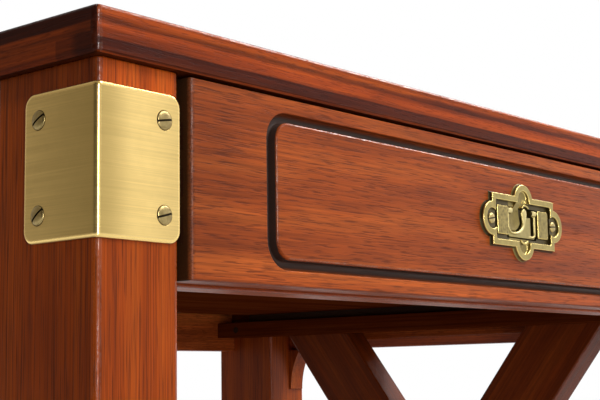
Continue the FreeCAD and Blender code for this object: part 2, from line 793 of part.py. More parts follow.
for name, (main, tenon, lap) in braces.items():
    side = LEFT if name.startswith("left") else RIGHT
    whole = fuse(name + "_whole", [main, tenon])
    end = REAR if "rising" in name else FRONT
    keep(name, cut(name, whole, [lap, brace_screws[side, end], lap_screws[side]]))


# ---------------------------------------------------------------- knee blocks

def knee_block(side, end):
    """Hollow-faced block in the angle of a leg and its end rail."""
    name = "%s_%s_knee" % (END_NAMES[end], SIDE_NAMES[side])
    x = signed(side, rail_in_x, rail_out_x)
    radius = (size.KneeWidth * size.KneeWidth + size.KneeHeight * size.KneeHeight) / (
        2 * size.KneeWidth)
    blank = block(name + "_blank", x,
                  signed(end, leg_inner_y - size.KneeFlat - size.KneeWidth, leg_inner_y),
                  (rail_low - size.KneeHeight, rail_low))
    hollow = rod(name + "_hollow", radius, size.RailThick,
                 (x[0], (leg_inner_y - size.KneeFlat - radius) * end, rail_low - size.KneeHeight),
                 "+x")
    return cut(name, blank, [hollow])


keep("knee_blocks", group("knee_blocks", [knee_block(side, end) for side in (LEFT, RIGHT)
                                          for end in (FRONT, REAR)]))


# ---------------------------------------------------------------- top

top_x = half_length + size.TopOverhang
top_y = half_depth + size.TopOverhang


def top_envelope():
    """Outer form of the top with all its edges eased."""
    slab = block("top_slab", both_ways(top_x), both_ways(top_y), (under_top, size.DeskHeight))
    corners = soften("top_corners", slab, "Fillet", size.TopCorner, edge_upright)
    upper = soften("top_upper_edge", corners, "Fillet", size.TopRound,
                   edge_in(z=size.DeskHeight))
    return soften("top_lower_edge", upper, "Chamfer", size.TopChamfer, edge_in(z=under_top))


def lipping_blank(name, long_half, out, angle):
    """Board with mitred ends, its long side outside, along the front before it is turned."""
    wedge = doc.addObject("Part::Wedge", name)
    inner_half = long_half - size.LippingWidth
    for prop, value in (("Xmin", -long_half), ("Xmax", long_half),
                        ("Ymin", -out), ("Ymax", size.LippingWidth - out),
                        ("Zmin", under_top), ("Zmax", size.DeskHeight),
                        ("X2min", -inner_half), ("X2max", inner_half),
                        ("Z2min", under_top), ("Z2max", size.DeskHeight)):
        bind(wedge, prop, value)
    wedge.Placement = FreeCAD.Placement(vector(0, 0, 0), FreeCAD.Rotation(vector(0, 0, 1), angle))
    return wedge


envelope = top_envelope()
panel = block("top_panel_board", both_ways(top_x - size.LippingWidth),
              both_ways(top_y - size.LippingWidth), (under_top, size.DeskHeight))
keep("top_panel", cut("top_panel", panel, list(top_screws.values()) + list(rail_screws.values())))
front_lipping = common("front_lipping_whole", lipping_blank("front_lipping_blank", top_x, top_y, 0),
                       envelope)
left_lipping = common("left_top_lipping", lipping_blank("left_lipping_blank", top_y, top_x, -90),
                      envelope)
keep("front_top_lipping", cut("front_top_lipping", front_lipping, list(rail_screws.values())))
keep("back_top_lipping", mirror("back_top_lipping", front_lipping, ALONG))
keep("left_top_lipping", left_lipping)
keep("right_top_lipping", mirror("right_top_lipping", left_lipping, ACROSS))


# ---------------------------------------------------------------- runners and kickers

for side in (LEFT, RIGHT):
    word = SIDE_NAMES[side]
    x = signed(side, runner_in_x, leg_inner_x)
    shelf = block(word + "_runner_shelf", x, runner_y, (runner_high - size.RunnerThick, runner_high))
    guide_x = signed(side, leg_inner_x - (size.FrontGap - size.GuideClear), leg_inner_x)
    guide = block(word + "_runner_guide", guide_x, runner_y,
                  (runner_high, runner_high + size.GuideHeight))
    runner = fuse(word + "_runner_whole", [shelf, guide])
    keep(word + "_runner", cut(word + "_runner", runner,
                               [runner_screws[side, FRONT], runner_screws[side, REAR]]))
    kicker = block(word + "_kicker_board", x, runner_y, (under_top - size.KickerThick, under_top))
    keep(word + "_kicker", cut(word + "_kicker", kicker,
                               [top_screws[side, FRONT], top_screws[side, REAR]]))


# ---------------------------------------------------------------- corner brackets

def corner_bracket():
    """Angle bracket of the front left corner, folded round the leg's rounded edge."""
    body = start_body("bracket_angle")
    sketch = open_sketch(body, "bracket_section", "XY_Plane", bracket_low)
    inner_x, inner_y = -half_length, -half_depth
    outer_x, outer_y = inner_x - size.BracketThick, inner_y - size.BracketThick
    end_x, end_y = inner_x + flange_end, inner_y + flange_end
    outline(sketch, [(outer_x, outer_y), (end_x, outer_y), (end_x, inner_y),
                     (inner_x, inner_y), (inner_x, end_y), (outer_x, end_y)])
    angle = pad(body, "bracket_pad", sketch, size.BracketHeight)
    inside = dress(body, "bracket_inside", "Fillet", angle, size.LegRound,
                   edge_in(x=inner_x, y=inner_y))
    outside = dress(body, "bracket_fold", "Fillet", inside, size.LegRound + size.BracketThick,
                    edge_in(x=outer_x, y=outer_y))
    low, high = bracket_low, bracket_low + size.BracketHeight
    dress(body, "bracket_corners", "Fillet", outside, size.BracketCorner,
          either(edge_in(x=end_x, z=low), edge_in(x=end_x, z=high),
                 edge_in(y=end_y, z=low), edge_in(y=end_y, z=high)))
    return body


bracket = corner_bracket()
bracket_copies = {(LEFT, FRONT): bracket,
                  (RIGHT, FRONT): mirror("bracket_right", bracket, ACROSS),
                  (LEFT, REAR): mirror("bracket_rear", bracket, ALONG)}
bracket_copies[RIGHT, REAR] = mirror("bracket_far", bracket_copies[RIGHT, FRONT], ALONG)
for (side, end), copy in bracket_copies.items():
    name = "%s_%s_bracket" % (END_NAMES[end], SIDE_NAMES[side])
    keep(name, cut(name, copy, bracket_screws[side, end]))

keep("bracket_screws", group("bracket_screws", [s for four in bracket_screws.values()
                                                for s in four]))
keep("runner_screws", group("runner_screws", list(runner_screws.values())))
keep("top_screws", group("top_screws", list(top_screws.values()) + list(rail_screws.values())))
keep("brace_screws", group("brace_screws", list(brace_screws.values())))
keep("lap_screws", group("lap_screws", list(lap_screws.values())))
keep("foot_glides", group("foot_glides", list(glides.values())))


# ---------------------------------------------------------------- drawer box

def tails(name, side, count, low, high, narrow_y, wide_y):
    """Row of dovetails that are as thick as a drawer side."""
    x = signed(side, front_half - size.SideThick, front_half)
    pitch = (high - low) / count
    made = []
    for number in range(count):
        middle = low + pitch * (number + 0.5)
        root = (middle - size.TailRoot / 2, middle + size.TailRoot / 2)
        tip = (root[0] - size.TailFlare, root[1] + size.TailFlare)
        first, second = (narrow_y, wide_y), (root, tip)
        if narrow_y.number > wide_y.number:
            first, second = (wide_y, narrow_y), (tip, root)
        wedge = doc.addObject("Part::Wedge", "%s_%d" % (name, number))
        for prop, value in (("Xmin", x[0]), ("Xmax", x[1]), ("X2min", x[0]), ("X2max", x[1]),
                            ("Ymin", first[0]), ("Ymax", first[1]),
                            ("Zmin", second[0][0]), ("Zmax", second[0][1]),
                            ("Z2min", second[1][0]), ("Z2max", second[1][1])):
            bind(wedge, prop, value)
        made.append(wedge)
    return made


front_tails = {side: tails("%s_front_tail" % SIDE_NAMES[side], side,
                           int(size.FrontTails.number), side_low, side_high,
                           front_back_y, front_back_y - size.TailLength)
               for side in (LEFT, RIGHT)}
back_high = side_high - size.BackDrop
back_tails = {side: tails("%s_back_tail" % SIDE_NAMES[side], side,
                          int(size.BackTails.number), bottom_high, back_high,
                          box_end_y - size.BackThick, box_end_y)
              for side in (LEFT, RIGHT)}

bottom_half = front_half - size.SideThick + size.BottomGroove
bottom_board = block("drawer_bottom_board", both_ways(bottom_half),
                     (front_back_y - size.BottomGroove, box_end_y), (bottom_low, bottom_high))
bottom_screws = [drive("bottom_screw_%d" % number, bottom_screw, front_half * share,
                       box_end_y - size.BackThick / 2, bottom_low, "-z")
                 for number, share in enumerate((-0.6, 0, 0.6))]
keep("drawer_bottom", cut("drawer_bottom", bottom_board, bottom_screws))
keep("drawer_bottom_screws", group("drawer_bottom_screws", bottom_screws))

back_board = block("drawer_back_board", both_ways(front_half),
                   (box_end_y - size.BackThick, box_end_y), (bottom_high, back_high))
drawer_back = cut("drawer_back", back_board,
                  back_tails[LEFT] + back_tails[RIGHT] + bottom_screws)
keep("drawer_back", drawer_back)

for side in (LEFT, RIGHT):
    name = "drawer_%s_side" % SIDE_NAMES[side]
    board = block(name + "_board", signed(side, front_half - size.SideThick, front_half),
                  (front_back_y, box_end_y), (side_low, side_high))
    tailed = fuse(name + "_tailed", [board] + front_tails[side])
    keep(name, cut(name, tailed, [bottom_board, drawer_back]))


# ---------------------------------------------------------------- drawer pull: places

pull_z = front_middle + size.PullRise
rim_face_y = field_face_y - size.PlateThick
pan_floor_y = rim_face_y + size.PanDepth
half_plate = size.PlateLength / 2
half_rise = size.PlateHeight / 2
half_lobe = size.LobeWidth / 2
upper_lobe = (half_lobe * half_lobe + size.UpperLobeRise * size.UpperLobeRise) / (
    2 * size.UpperLobeRise)
side_lobe = (half_lobe * half_lobe + size.SideLobeRise * size.SideLobeRise) / (
    2 * size.SideLobeRise)
lobe_z = half_rise + size.UpperLobeRise - upper_lobe
lobe_x = half_plate + size.SideLobeRise - side_lobe
bail_back_y = pan_floor_y - size.BailLift
bail_mid_y = bail_back_y - size.BailThick / 2
bail_half = size.LugSpacing / 2 - size.BailSideClear
pivot_z = pull_z + size.PivotRise

pull_screws = [drive("%s_pull_screw" % SIDE_NAMES[side], pull_screw, lobe_x * side,
                     rim_face_y + size.LobeSink, pull_z, "-y", PULL_SLOT_ANGLES[number])
               for number, side in enumerate((LEFT, RIGHT))]
pin_length = size.PinInEye + size.BailSideClear + size.PinInLug
bail_pins = [rod("%s_bail_pin" % SIDE_NAMES[side], size.PinRadius, pin_length,
                 (signed(side, bail_half - size.PinInEye, bail_half - size.PinInEye + pin_length)[0],
                  bail_mid_y, pivot_z), "+x") for side in (LEFT, RIGHT)]


# ---------------------------------------------------------------- drawer front

def front_plane(body, name, y):
    """A sketch that faces the user, at depth y.  Its own axes are X and Z."""
    return open_sketch(body, name, "XZ_Plane", -y)


def drawer_front():
    """Front with a routed groove round a raised field and a mortise for the pull's pan."""
    body = start_body("drawer_front_board")
    blank_sketch = front_plane(body, "front_outline", front_back_y)
    rectangle(blank_sketch, both_ways(front_half), (front_low, front_high))
    blank = pad(body, "front_pad", blank_sketch, size.FrontThick)
    dress(body, "front_edges", "Fillet", blank, size.FrontRound,
          edge_in(y=front_face_y))

    field_half = front_half - size.FieldInset
    field_z = (front_middle - size.FieldHeight / 2, front_middle + size.FieldHeight / 2)
    wide = size.GrooveWidth
    groove_sketch = front_plane(body, "groove_outline", front_face_y)
    rounded_rectangle(groove_sketch, both_ways(field_half + wide),
                      (field_z[0] - wide, field_z[1] + wide), size.FieldCorner + wide)
    rounded_rectangle(groove_sketch, both_ways(field_half), field_z, size.FieldCorner)
    pocket(body, "groove", groove_sketch, size.GrooveDepth)

    field_sketch = front_plane(body, "field_outline", front_face_y)
    rounded_rectangle(field_sketch, both_ways(field_half), field_z, size.FieldCorner)
    field = pad(body, "field", field_sketch, size.FieldRise)
    dress(body, "field_edges", "Chamfer", field, size.FieldRound, edge_in(y=field_face_y))

    mortise_sketch = front_plane(body, "pan_mortise_outline", field_face_y)
    around = size.PanWall + size.PanClear
    rectangle(mortise_sketch, both_ways(size.PanLength / 2 + around),
              (pull_z - size.PanHeight / 2 - around, pull_z + size.PanHeight / 2 + around))
    pocket(body, "pan_mortise", mortise_sketch,
           size.PanDepth - size.PlateThick + size.PanWall + size.PanClear)
    return body


keep("drawer_front", cut("drawer_front", drawer_front(),
                         front_tails[LEFT] + front_tails[RIGHT] + [bottom_board] + pull_screws))


# ---------------------------------------------------------------- pull plate, pins and bail

def pull_plate():
    """Cast plate: four-lobed rim, sunk pan, two hinge lugs."""
    body = start_body("pull_plate_casting")
    rim_sketch = front_plane(body, "rim_outline", field_face_y)
    right, high, low = half_plate, pull_z + half_rise, pull_z - half_rise
    outline(rim_sketch,
            [(right, pull_z - half_lobe), (right, pull_z + half_lobe), (right, high),
             (half_lobe, high), (-half_lobe, high), (-right, high),
             (-right, pull_z + half_lobe), (-right, pull_z - half_lobe), (-right, low),
             (-half_lobe, low), (half_lobe, low), (right, low)],
            {0: side_lobe, 3: upper_lobe, 6: side_lobe, 9: upper_lobe})
    rim = pad(body, "rim", rim_sketch, size.PlateThick)
    dress(body, "rim_edge", "Chamfer", rim, size.PlateRound, edge_in(y=rim_face_y))

    pan_sketch = front_plane(body, "pan_outline", field_face_y)
    rectangle(pan_sketch, both_ways(size.PanLength / 2 + size.PanWall),
              (pull_z - size.PanHeight / 2 - size.PanWall,
               pull_z + size.PanHeight / 2 + size.PanWall))
    pad(body, "pan", pan_sketch, size.PanDepth - size.PlateThick + size.PanWall, reverse=True)

    hollow_sketch = front_plane(body, "pan_hollow_outline", rim_face_y)
    rectangle(hollow_sketch, both_ways(size.PanLength / 2),
              (pull_z - size.PanHeight / 2, pull_z + size.PanHeight / 2))
    pocket(body, "pan_hollow", hollow_sketch, size.PanDepth)

    for number, (x, z, radius) in enumerate((
            (dim(0), pull_z + lobe_z, upper_lobe), (dim(0), pull_z - lobe_z, upper_lobe),
            (lobe_x, pull_z, side_lobe), (-lobe_x, pull_z, side_lobe))):
        lobe_sketch = front_plane(body, "lobe_hollow_outline_%d" % number, rim_face_y)
        ring(lobe_sketch, (x, z), radius - size.PlateRim)
        pocket(body, "lobe_hollow_%d" % number, lobe_sketch, size.LobeSink)

    for side in (LEFT, RIGHT):
        lug_sketch = front_plane(body, "%s_lug_outline" % SIDE_NAMES[side], pan_floor_y)
        rectangle(lug_sketch, signed(side, size.LugSpacing / 2, size.LugSpacing / 2 + size.LugWidth),
                  (pull_z - size.LugHeight / 2, pull_z + size.LugHeight / 2))
        lug = pad(body, "%s_lug" % SIDE_NAMES[side], lug_sketch, size.PanDepth - size.LugDrop)
        on_face = edge_in(y=rim_face_y + size.LugDrop)
        dress(body, "%s_lug_edge" % SIDE_NAMES[side], "Chamfer", lug, size.LugRound,
              lambda edge: on_face(edge) and edge.Vertexes[0].X * side > 0)
    return body


keep("pull_plate", cut("pull_plate", pull_plate(), pull_screws + bail_pins))
keep("pull_screws", group("pull_screws", pull_screws))
keep("bail_pins", group("bail_pins", bail_pins))


def pull_bail():
    """Swing bail: two arms, lower bar, and a prong with a round head rising from the bar."""
    body = start_body("bail_casting")
    sketch = front_plane(body, "bail_outline", bail_back_y)
    low = pull_z - size.BailDrop
    bar = low + size.BailBar
    corner = size.BailCorner
    inner = bail_half - size.BailArm
    slot_left = inner - size.SlotWidth
    neck_left = size.ProngShift - size.ProngWidth / 2
    neck_right = size.ProngShift + size.ProngWidth / 2
    knob_z = pull_z + size.KnobRise
    outline(sketch,
            [(-bail_half, low + corner), (corner - bail_half, low),
             (bail_half - corner, low), (bail_half, low + corner),
             (bail_half, pivot_z), (inner, pivot_z),
             (inner, low + size.BailArm), (slot_left, low + size.BailArm),
             (slot_left, pull_z + size.WebRise), (neck_right, pull_z + size.WebRise),
             (neck_right, knob_z), (neck_left, knob_z),
             (neck_left, pull_z - size.BasinSide), (-size.BasinFoot, bar),
             (-inner + corner, bar), (-inner, bar + corner),
             (-inner, pivot_z), (-bail_half, pivot_z)],
            {0: corner, 2: corner})
    pad(body, "bail_plate", sketch, size.BailThick)
    knob_sketch = front_plane(body, "knob_outline", bail_back_y)
    ring(knob_sketch, (size.ProngShift, knob_z), size.KnobRadius)
    knob = pad(body, "knob", knob_sketch, size.BailThick + size.KnobDome)
    dress(body, "knob_edge", "Chamfer", knob, size.KnobDome * 0.8,
          edge_in(y=bail_back_y - size.BailThick - size.KnobDome))
    eyes = [rod("%s_eye" % SIDE_NAMES[side], size.EyeRadius, size.EyeLength,
                (signed(side, bail_half - size.EyeLength, bail_half)[0], bail_mid_y, pivot_z), "+x")
            for side in (LEFT, RIGHT)]
    bores = [rod("%s_eye_bore" % SIDE_NAMES[side], size.PinRadius + size.PinClear,
                 size.PinInEye + size.PinClear + PAST,
                 (signed(side, bail_half - size.PinInEye - size.PinClear,
                         bail_half + PAST)[0], bail_mid_y, pivot_z), "+x")
             for side in (LEFT, RIGHT)]
    return cut("pull_bail", fuse("bail_with_eyes", [body] + eyes), bores)


keep("pull_bail", pull_bail())


# ---------------------------------------------------------------- check and write

def check(objects):
    """Every object has recomputed, and every piece is a sound solid or group of solids."""
    failed = [obj.Name for obj in doc.Objects if "Invalid" in obj.State or "Error" in obj.State]
    if failed:
        raise RuntimeError("failed objects: %s" % failed)
    for name, obj in objects.items():
        shape = obj.Shape
        if shape.isNull() or not shape.isValid() or not shape.Solids:
            raise RuntimeError("bad shape: %s" % name)


doc.recompute()
check(pieces)
os.makedirs("parts", exist_ok=True)
for name, obj in pieces.items():
    obj.Shape.exportStep("parts/%s.step" % name)
    box = obj.Shape.BoundBox
    print("%-22s %3d solids %10.0f mm3  x %.1f..%.1f y %.1f..%.1f z %.1f..%.1f" % (
        name, len(obj.Shape.Solids), obj.Shape.Volume, box.XMin, box.XMax, box.YMin, box.YMax,
        box.ZMin, box.ZMax))
print(len(pieces), "nodes")
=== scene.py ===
import bmesh
import bpy
from math import acos, atan2, cos, degrees, pi, radians, sin, tau
from mathutils import Matrix, Vector
from mathutils.geometry import delaunay_2d_cdt


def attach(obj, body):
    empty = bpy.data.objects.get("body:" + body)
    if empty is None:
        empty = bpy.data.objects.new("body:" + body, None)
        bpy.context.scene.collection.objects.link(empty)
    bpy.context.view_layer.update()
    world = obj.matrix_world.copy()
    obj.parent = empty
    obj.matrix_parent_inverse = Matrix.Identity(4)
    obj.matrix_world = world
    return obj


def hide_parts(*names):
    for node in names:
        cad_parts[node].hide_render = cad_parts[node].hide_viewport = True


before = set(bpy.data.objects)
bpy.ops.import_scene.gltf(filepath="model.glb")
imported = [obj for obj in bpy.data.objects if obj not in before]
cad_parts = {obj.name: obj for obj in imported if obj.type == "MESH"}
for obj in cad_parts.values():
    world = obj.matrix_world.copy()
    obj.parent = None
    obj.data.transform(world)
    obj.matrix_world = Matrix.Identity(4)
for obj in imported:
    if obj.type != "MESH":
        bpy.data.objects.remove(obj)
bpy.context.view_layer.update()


# ---- Legs ------------------------------------------------------------------------------
# Four square-set legs of reddish-brown mahogany, sawn from the plank, planed, their long
# edges rounded by hand, stained and rubbed to a satin finish.
MM = 0.001


def mm(*sizes):
    """Sizes in millimetres as metres."""
    return [size * MM for size in sizes]


LEGS = ("front_left_leg", "front_right_leg", "rear_left_leg", "rear_right_leg")
HEAD_EASE, HEAD_EDGE, PORE_DEPTH = mm(1.1, 735.9, 0.16)
FRONT_SKIN, HEAD_FADE = mm(-299.0, -298.2), mm(718, 724)
# gains of the painted light on the leg fronts and of the painted shade on their other faces,
# above the brackets
PAINTED_LIGHT_FRONT, PAINTED_SHADE_SIDES = 1.58, 0.74
# turns of the pattern that lay the grain along Z, X and Y
UPRIGHT, LENGTHWISE, DEPTHWISE = (0, pi / 2, 0), (0, 0, 0), (0, 0, -pi / 2)
MAHOGANY = ((0.00, (0.110, 0.018, 0.004)), (0.30, (0.235, 0.041, 0.007)),
            (0.50, (0.345, 0.066, 0.011)), (0.70, (0.430, 0.096, 0.018)),
            (1.00, (0.520, 0.135, 0.030)))
PORE_BROWN = (0.075, 0.014, 0.003, 1)
# lighter brown on the marked edges: part wear, part painted highlight
RUBBED_HIGHLIGHT_BROWN = (0.52, 0.20, 0.080, 1)


class Outlet:
    """What a node gives out.  It is reckoned with like a number, each step a new node."""

    def __init__(self, tree, socket):
        self.tree, self.socket = tree, socket

    def __add__(self, other):
        return arithmetic("ADD", self, other)

    def __sub__(self, other):
        return arithmetic("SUBTRACT", self, other)

    def __rsub__(self, other):
        return arithmetic("SUBTRACT", other, self)

    def __mul__(self, other):
        return arithmetic("MULTIPLY", self, other)

    def __abs__(self):
        return arithmetic("ABSOLUTE", self)


def node(kind, inputs, out=0, tree=None, **settings):
    """One node and its outlet.  Its inputs are plain values or outlets, whose tree it joins."""
    if tree is None:
        tree = next(value.tree for value in inputs.values() if isinstance(value, Outlet))
    made = tree.nodes.new(kind)
    for key, value in settings.items():
        setattr(made, key, value)
    for key, value in inputs.items():
        if isinstance(value, Outlet):
            tree.links.new(value.socket, made.inputs[key])
        else:
            made.inputs[key].default_value = value
    return Outlet(tree, made.outputs[out]) if len(made.outputs) else None


def arithmetic(how, first, second=0.0):
    return node("ShaderNodeMath", {0: first, 1: second}, operation=how)


def larger(first, second):
    return arithmetic("MAXIMUM", first, second)


def vectors(how, first, second=(0, 0, 0), out=0):
    return node("ShaderNodeVectorMath", {0: first, 1: second}, out, operation=how)


def split(where):
    made = node("ShaderNodeSeparateXYZ", {0: where})
    return [Outlet(made.tree, socket) for socket in made.socket.node.outputs]


def spread(value, low, high, to_low, to_high, smooth=False):
    return node("ShaderNodeMapRange", {0: value, 1: low, 2: high, 3: to_low, 4: to_high},
                interpolation_type="SMOOTHSTEP" if smooth else "LINEAR")


def noise(where, detail, coarse, twist=0.0):
    return node("ShaderNodeTexNoise", {"Vector": where, "Scale": 1.0, "Detail": detail,
                                       "Roughness": coarse, "Distortion": twist})


def mixed(share, first, second):
    return node("ShaderNodeMix", {0: share, 6: first, 7: second}, 2, data_type="RGBA")


def tinted(colour, by):
    return node("ShaderNodeMix", {0: 1.0, 6: colour, 7: by}, 2, data_type="RGBA",
                blend_type="MULTIPLY")


def marked(tree, label):
    return node("ShaderNodeAttribute", {}, "Fac", tree, attribute_name=label)


def empty_finish(name):
    finish = bpy.data.materials.new(name)
    finish.use_nodes = True
    finish.node_tree.nodes.clear()
    return finish, finish.node_tree


def surface(colour, matt, relief, strength, depth, more):
    """The last nodes of a finish: its colour, roughness, fine relief and what more it has."""
    bump = node("ShaderNodeBump", {"Height": relief, "Strength": strength, "Distance": depth})
    node("ShaderNodeOutputMaterial", {0: node(
        "ShaderNodeBsdfPrincipled",
        {"Base Color": colour, "Roughness": matt, "Normal": bump, **more})})


def wood(name, turn, start, tones=MAHOGANY, figure=(1.5, 30), contrast=1.1, fibre=(8, 520),
         pore=(120, 1500), fleck=0.5, shade=(1.0, 1.0, 1.0), rough=0.36, shine=0.12,
         stain_and_painted_light=None):
    """Stained open-grained wood.  turn lays the grain along the board, start is the place in
    the tree it was sawn from; the last argument recolours a part of some woods, with staining,
    painted light and painted shade.  figure, fibre and pore say how often each changes in a
    metre along and across the grain.  Edges marked for wear and painted highlight turn a
    lighter brown."""
    finish, tree = empty_finish(name)
    place = node("ShaderNodeTexCoord", {}, "Object", tree)
    grain = node("ShaderNodeMapping", {"Vector": place, "Location": start, "Rotation": turn})

    def drawn_out(along, across):
        return vectors("MULTIPLY", grain, (along, across, across))

    streaks = noise(drawn_out(*figure), 4, 0.58, 0.5)
    rings = node("ShaderNodeTexWave",
                 {"Vector": drawn_out(0.35, 1.0), "Scale": 11, "Distortion": 5.5,
                  "Detail": 2.5, "Detail Scale": 1.4, "Detail Roughness": 0.6}, 1,
                 wave_type="RINGS", rings_direction="X")
    tone = (spread(streaks, 0.25, 0.75, 0.5 - contrast / 4, 0.5 + contrast / 4)
            + spread(rings, 0, 1, -0.10, 0.10))
    ramp = node("ShaderNodeValToRGB", {0: tone})
    steps = ramp.socket.node.color_ramp.elements
    while len(steps) < len(tones):
        steps.new(0.5)
    for step, (position, colour) in zip(steps, tones):
        step.position = position
        step.color = [part * dim for part, dim in zip(colour, shade)] + [1]
    threads = noise(drawn_out(*fibre), 4, 0.62, 0.15)
    colour = tinted(ramp, spread(threads, 0.30, 0.70, 0.62, 1.33))
    pores = spread(noise(drawn_out(*pore), 2, 0.5), 0.53, 0.64, 0, 1)
    colour = mixed(pores * fleck, colour, PORE_BROWN)
    if stain_and_painted_light:
        colour = stain_and_painted_light(place, colour)
    broken = spread(noise(drawn_out(420, 420), 2, 0.5), 0.42, 0.60, 0.12, 1.0)
    rub_and_highlight = marked(tree, "rub_and_highlight") * broken
    # the marked edges turn a lighter brown: wear and a painted highlight
    patchy = spread(noise(drawn_out(60, 420), 3, 0.6), 0.40, 0.64, 0.0, 0.10)
    colour = mixed(rub_and_highlight * patchy, colour, RUBBED_HIGHLIGHT_BROWN)
    matt = (spread(threads, 0.3, 0.7, rough - 0.05, rough + 0.07) + pores * 0.14
            - rub_and_highlight * 0.25)
    surface(colour, matt, threads * 0.5 - pores, 0.32, PORE_DEPTH,
            {"Specular IOR Level": rub_and_highlight * (4.5 * shine) + shine})
    return finish


def placed(name, data):
    """A new object in the scene that shows a mesh, a lamp or a camera."""
    thing = bpy.data.objects.new(name, data)
    bpy.context.scene.collection.objects.link(thing)
    return thing


def as_mesh(shape, name):
    mesh = bpy.data.meshes.new(name)
    shape.to_mesh(mesh)
    shape.free()
    return mesh


def merged(mesh, within):
    """A mesh as a bmesh, the points that lie on each other made one."""
    shape = bmesh.new()
    shape.from_mesh(mesh)
    bmesh.ops.remove_doubles(shape, verts=shape.verts, dist=within)
    return shape


def bevelled(shape, edges, width):
    bmesh.ops.bevel(shape, geom=edges, offset=width, offset_type="OFFSET", segments=3,
                    profile=0.5, affect="EDGES", clamp_overlap=True)


def mark_rub_and_highlight(shape, narrow=1.7 * MM, amount=1.0):
    """Marks the points in the middle of rounded edges, for the wear of hands and cloths and for
    a painted highlight.
    """
    layer = shape.verts.layers.float.new("rub_and_highlight")
    shape.normal_update()
    for point in shape.verts:
        widest = max((face.calc_area() / max(edge.calc_length() for edge in face.edges)
                      for face in point.link_faces), default=1)
        slanted = max(abs(part) for part in point.normal) < 0.985
        point[layer] = amount if widest < narrow and slanted else 0.0


def into_piece(name, shape, finish, body, replaced, sharp=34):
    """A finished piece from a bmesh: smooth rounds, crisp corners, its finish and body."""
    mesh = as_mesh(shape, name)
    mesh.polygons.foreach_set("use_smooth", [True] * len(mesh.polygons))
    mesh.set_sharp_from_angle(angle=radians(sharp))
    mesh.materials.append(finish)
    piece = placed(name, mesh)
    piece.modifiers.new("even_light", "WEIGHTED_NORMAL").keep_sharp = True
    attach(piece, body)
    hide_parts(*replaced)


def dressed(board, finish, ease=0.0, shortest=12 * MM, chosen=lambda point: True, rub_and_highlight=1.0):
    """A board as the joiner leaves it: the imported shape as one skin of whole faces, with its
    long edges eased, or only those whose two ends are chosen."""
    shape = merged(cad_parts[board].data, 2e-6)
    bmesh.ops.dissolve_limit(shape, angle_limit=radians(0.3), verts=shape.verts,
                             edges=shape.edges)
    if ease:
        bevelled(shape, [edge for edge in shape.edges
                         if len(edge.link_faces) == 2 and edge.is_convex
                         and edge.calc_face_angle() > radians(40)
                         and edge.calc_length() > shortest
                         and all(chosen(vert.co) for vert in edge.verts)], ease)
    mark_rub_and_highlight(shape, amount=rub_and_highlight)
    into_piece("dressed_" + board, shape, finish, "desk", [board])


def painted_light_under_top(place, colour):
    """Above the brackets the front of a leg is lightened as painted light, its other faces
    darkened as painted shade.
    """
    _, y, z = split(place)
    front = spread(y, *FRONT_SKIN, PAINTED_LIGHT_FRONT, PAINTED_SHADE_SIDES)
    head = spread(z, *HEAD_FADE, 0, 1)
    return tinted(colour, head * (front - 1.0) + 1.0)


for number, leg in enumerate(LEGS):
    at_front = leg.startswith("front")
    dressed(leg, wood("leg_mahogany_%d" % number, UPRIGHT, (0.4 + 1.9 * number, 0.31, 0.17),
                      figure=(0.9, 210), contrast=0.5, fibre=(3, 820), pore=(30, 1400),
                      fleck=0.6, shade=(1.0, 0.85, 0.40), stain_and_painted_light=painted_light_under_top,
                      shine=0.09 if at_front else 0.18),
            HEAD_EASE, 0, lambda point: point.z > HEAD_EDGE, 0.8 if at_front else 0.2)


# ---- Foot glides -----------------------------------------------------------------------
# A nickelled steel button nailed under each leg, pressed from sheet with a rounded edge,
# its plating dulled in patches.
GLIDE_RADIUS, GLIDE_THICK, GLIDE_X, GLIDE_Y = mm(12, 4, 351.5, 259)
PRESSED = 0.55                       # below 1 the button's edge is squarer than a ball
# near-black laid on places marked dark: grime and painted shade
DIRT_AND_SHADE = (0.012, 0.008, 0.004, 1)


def metal(name, base, dark, rough, streak, tarnish=0.5, clouded=26, depth=None, wear_and_highlight_gain=1.22):
    """Solid metal.  streak sets how the brush marks are drawn out, clouded how fine the tarnish
    is, depth may recolour it by place with patina, polish, painted shade and painted highlight,
    and the last number is how much brighter the edges marked for wear and painted highlight
    are."""
    finish, tree = empty_finish(name)
    place = node("ShaderNodeTexCoord", {}, "Object", tree)
    clouds = noise(vectors("MULTIPLY", place, (clouded,) * 3), 4, 0.6, 0.3)
    brush = noise(vectors("MULTIPLY", place, streak), 3, 0.6)
    age = spread(clouds, 0.35, 0.70, 0, 1, True) * tarnish
    colour = tinted(mixed(age, (*base, 1), (*dark, 1)), spread(brush, 0.3, 0.7, 0.90, 1.07))
    if depth:
        colour = depth(place, colour)
    rub_and_highlight = marked(tree, "rub_and_highlight")
    # edges marked for wear and painted highlight are brightened; places marked dark get grime
    # and painted shade
    bright = [min(1.0, value * wear_and_highlight_gain) for value in base]
    colour = mixed(rub_and_highlight * 0.75, colour, (*bright, 1))
    colour = mixed(marked(tree, "dirt_and_shade") * 0.96, colour, DIRT_AND_SHADE)
    matt = spread(brush, 0.3, 0.7, rough - 0.04, rough + 0.05) + age * 0.10 - rub_and_highlight * 0.12
    surface(colour, matt, brush, 0.10, 0.1 * MM, {"Metallic": 1.0})
    return finish


def geometry_tree(name, sizes):
    """A Geometry Nodes tree with sockets for its points, its named sizes and its finish."""
    tree = bpy.data.node_groups.new(name, "GeometryNodeTree")
    kinds = {"Points": "Geometry", **dict.fromkeys(sizes, "Float"), "Finish": "Material"}
    for label, kind in kinds.items():
        tree.interface.new_socket(label, in_out="INPUT", socket_type="NodeSocket" + kind)
    tree.interface.new_socket("Parts", in_out="OUTPUT", socket_type="NodeSocketGeometry")
    given = tree.nodes.new("NodeGroupInput").outputs
    return tree, {label: Outlet(tree, given[label]) for label in kinds}


def vector(x, y, z):
    return node("ShaderNodeCombineXYZ", {0: x, 1: y, 2: z})


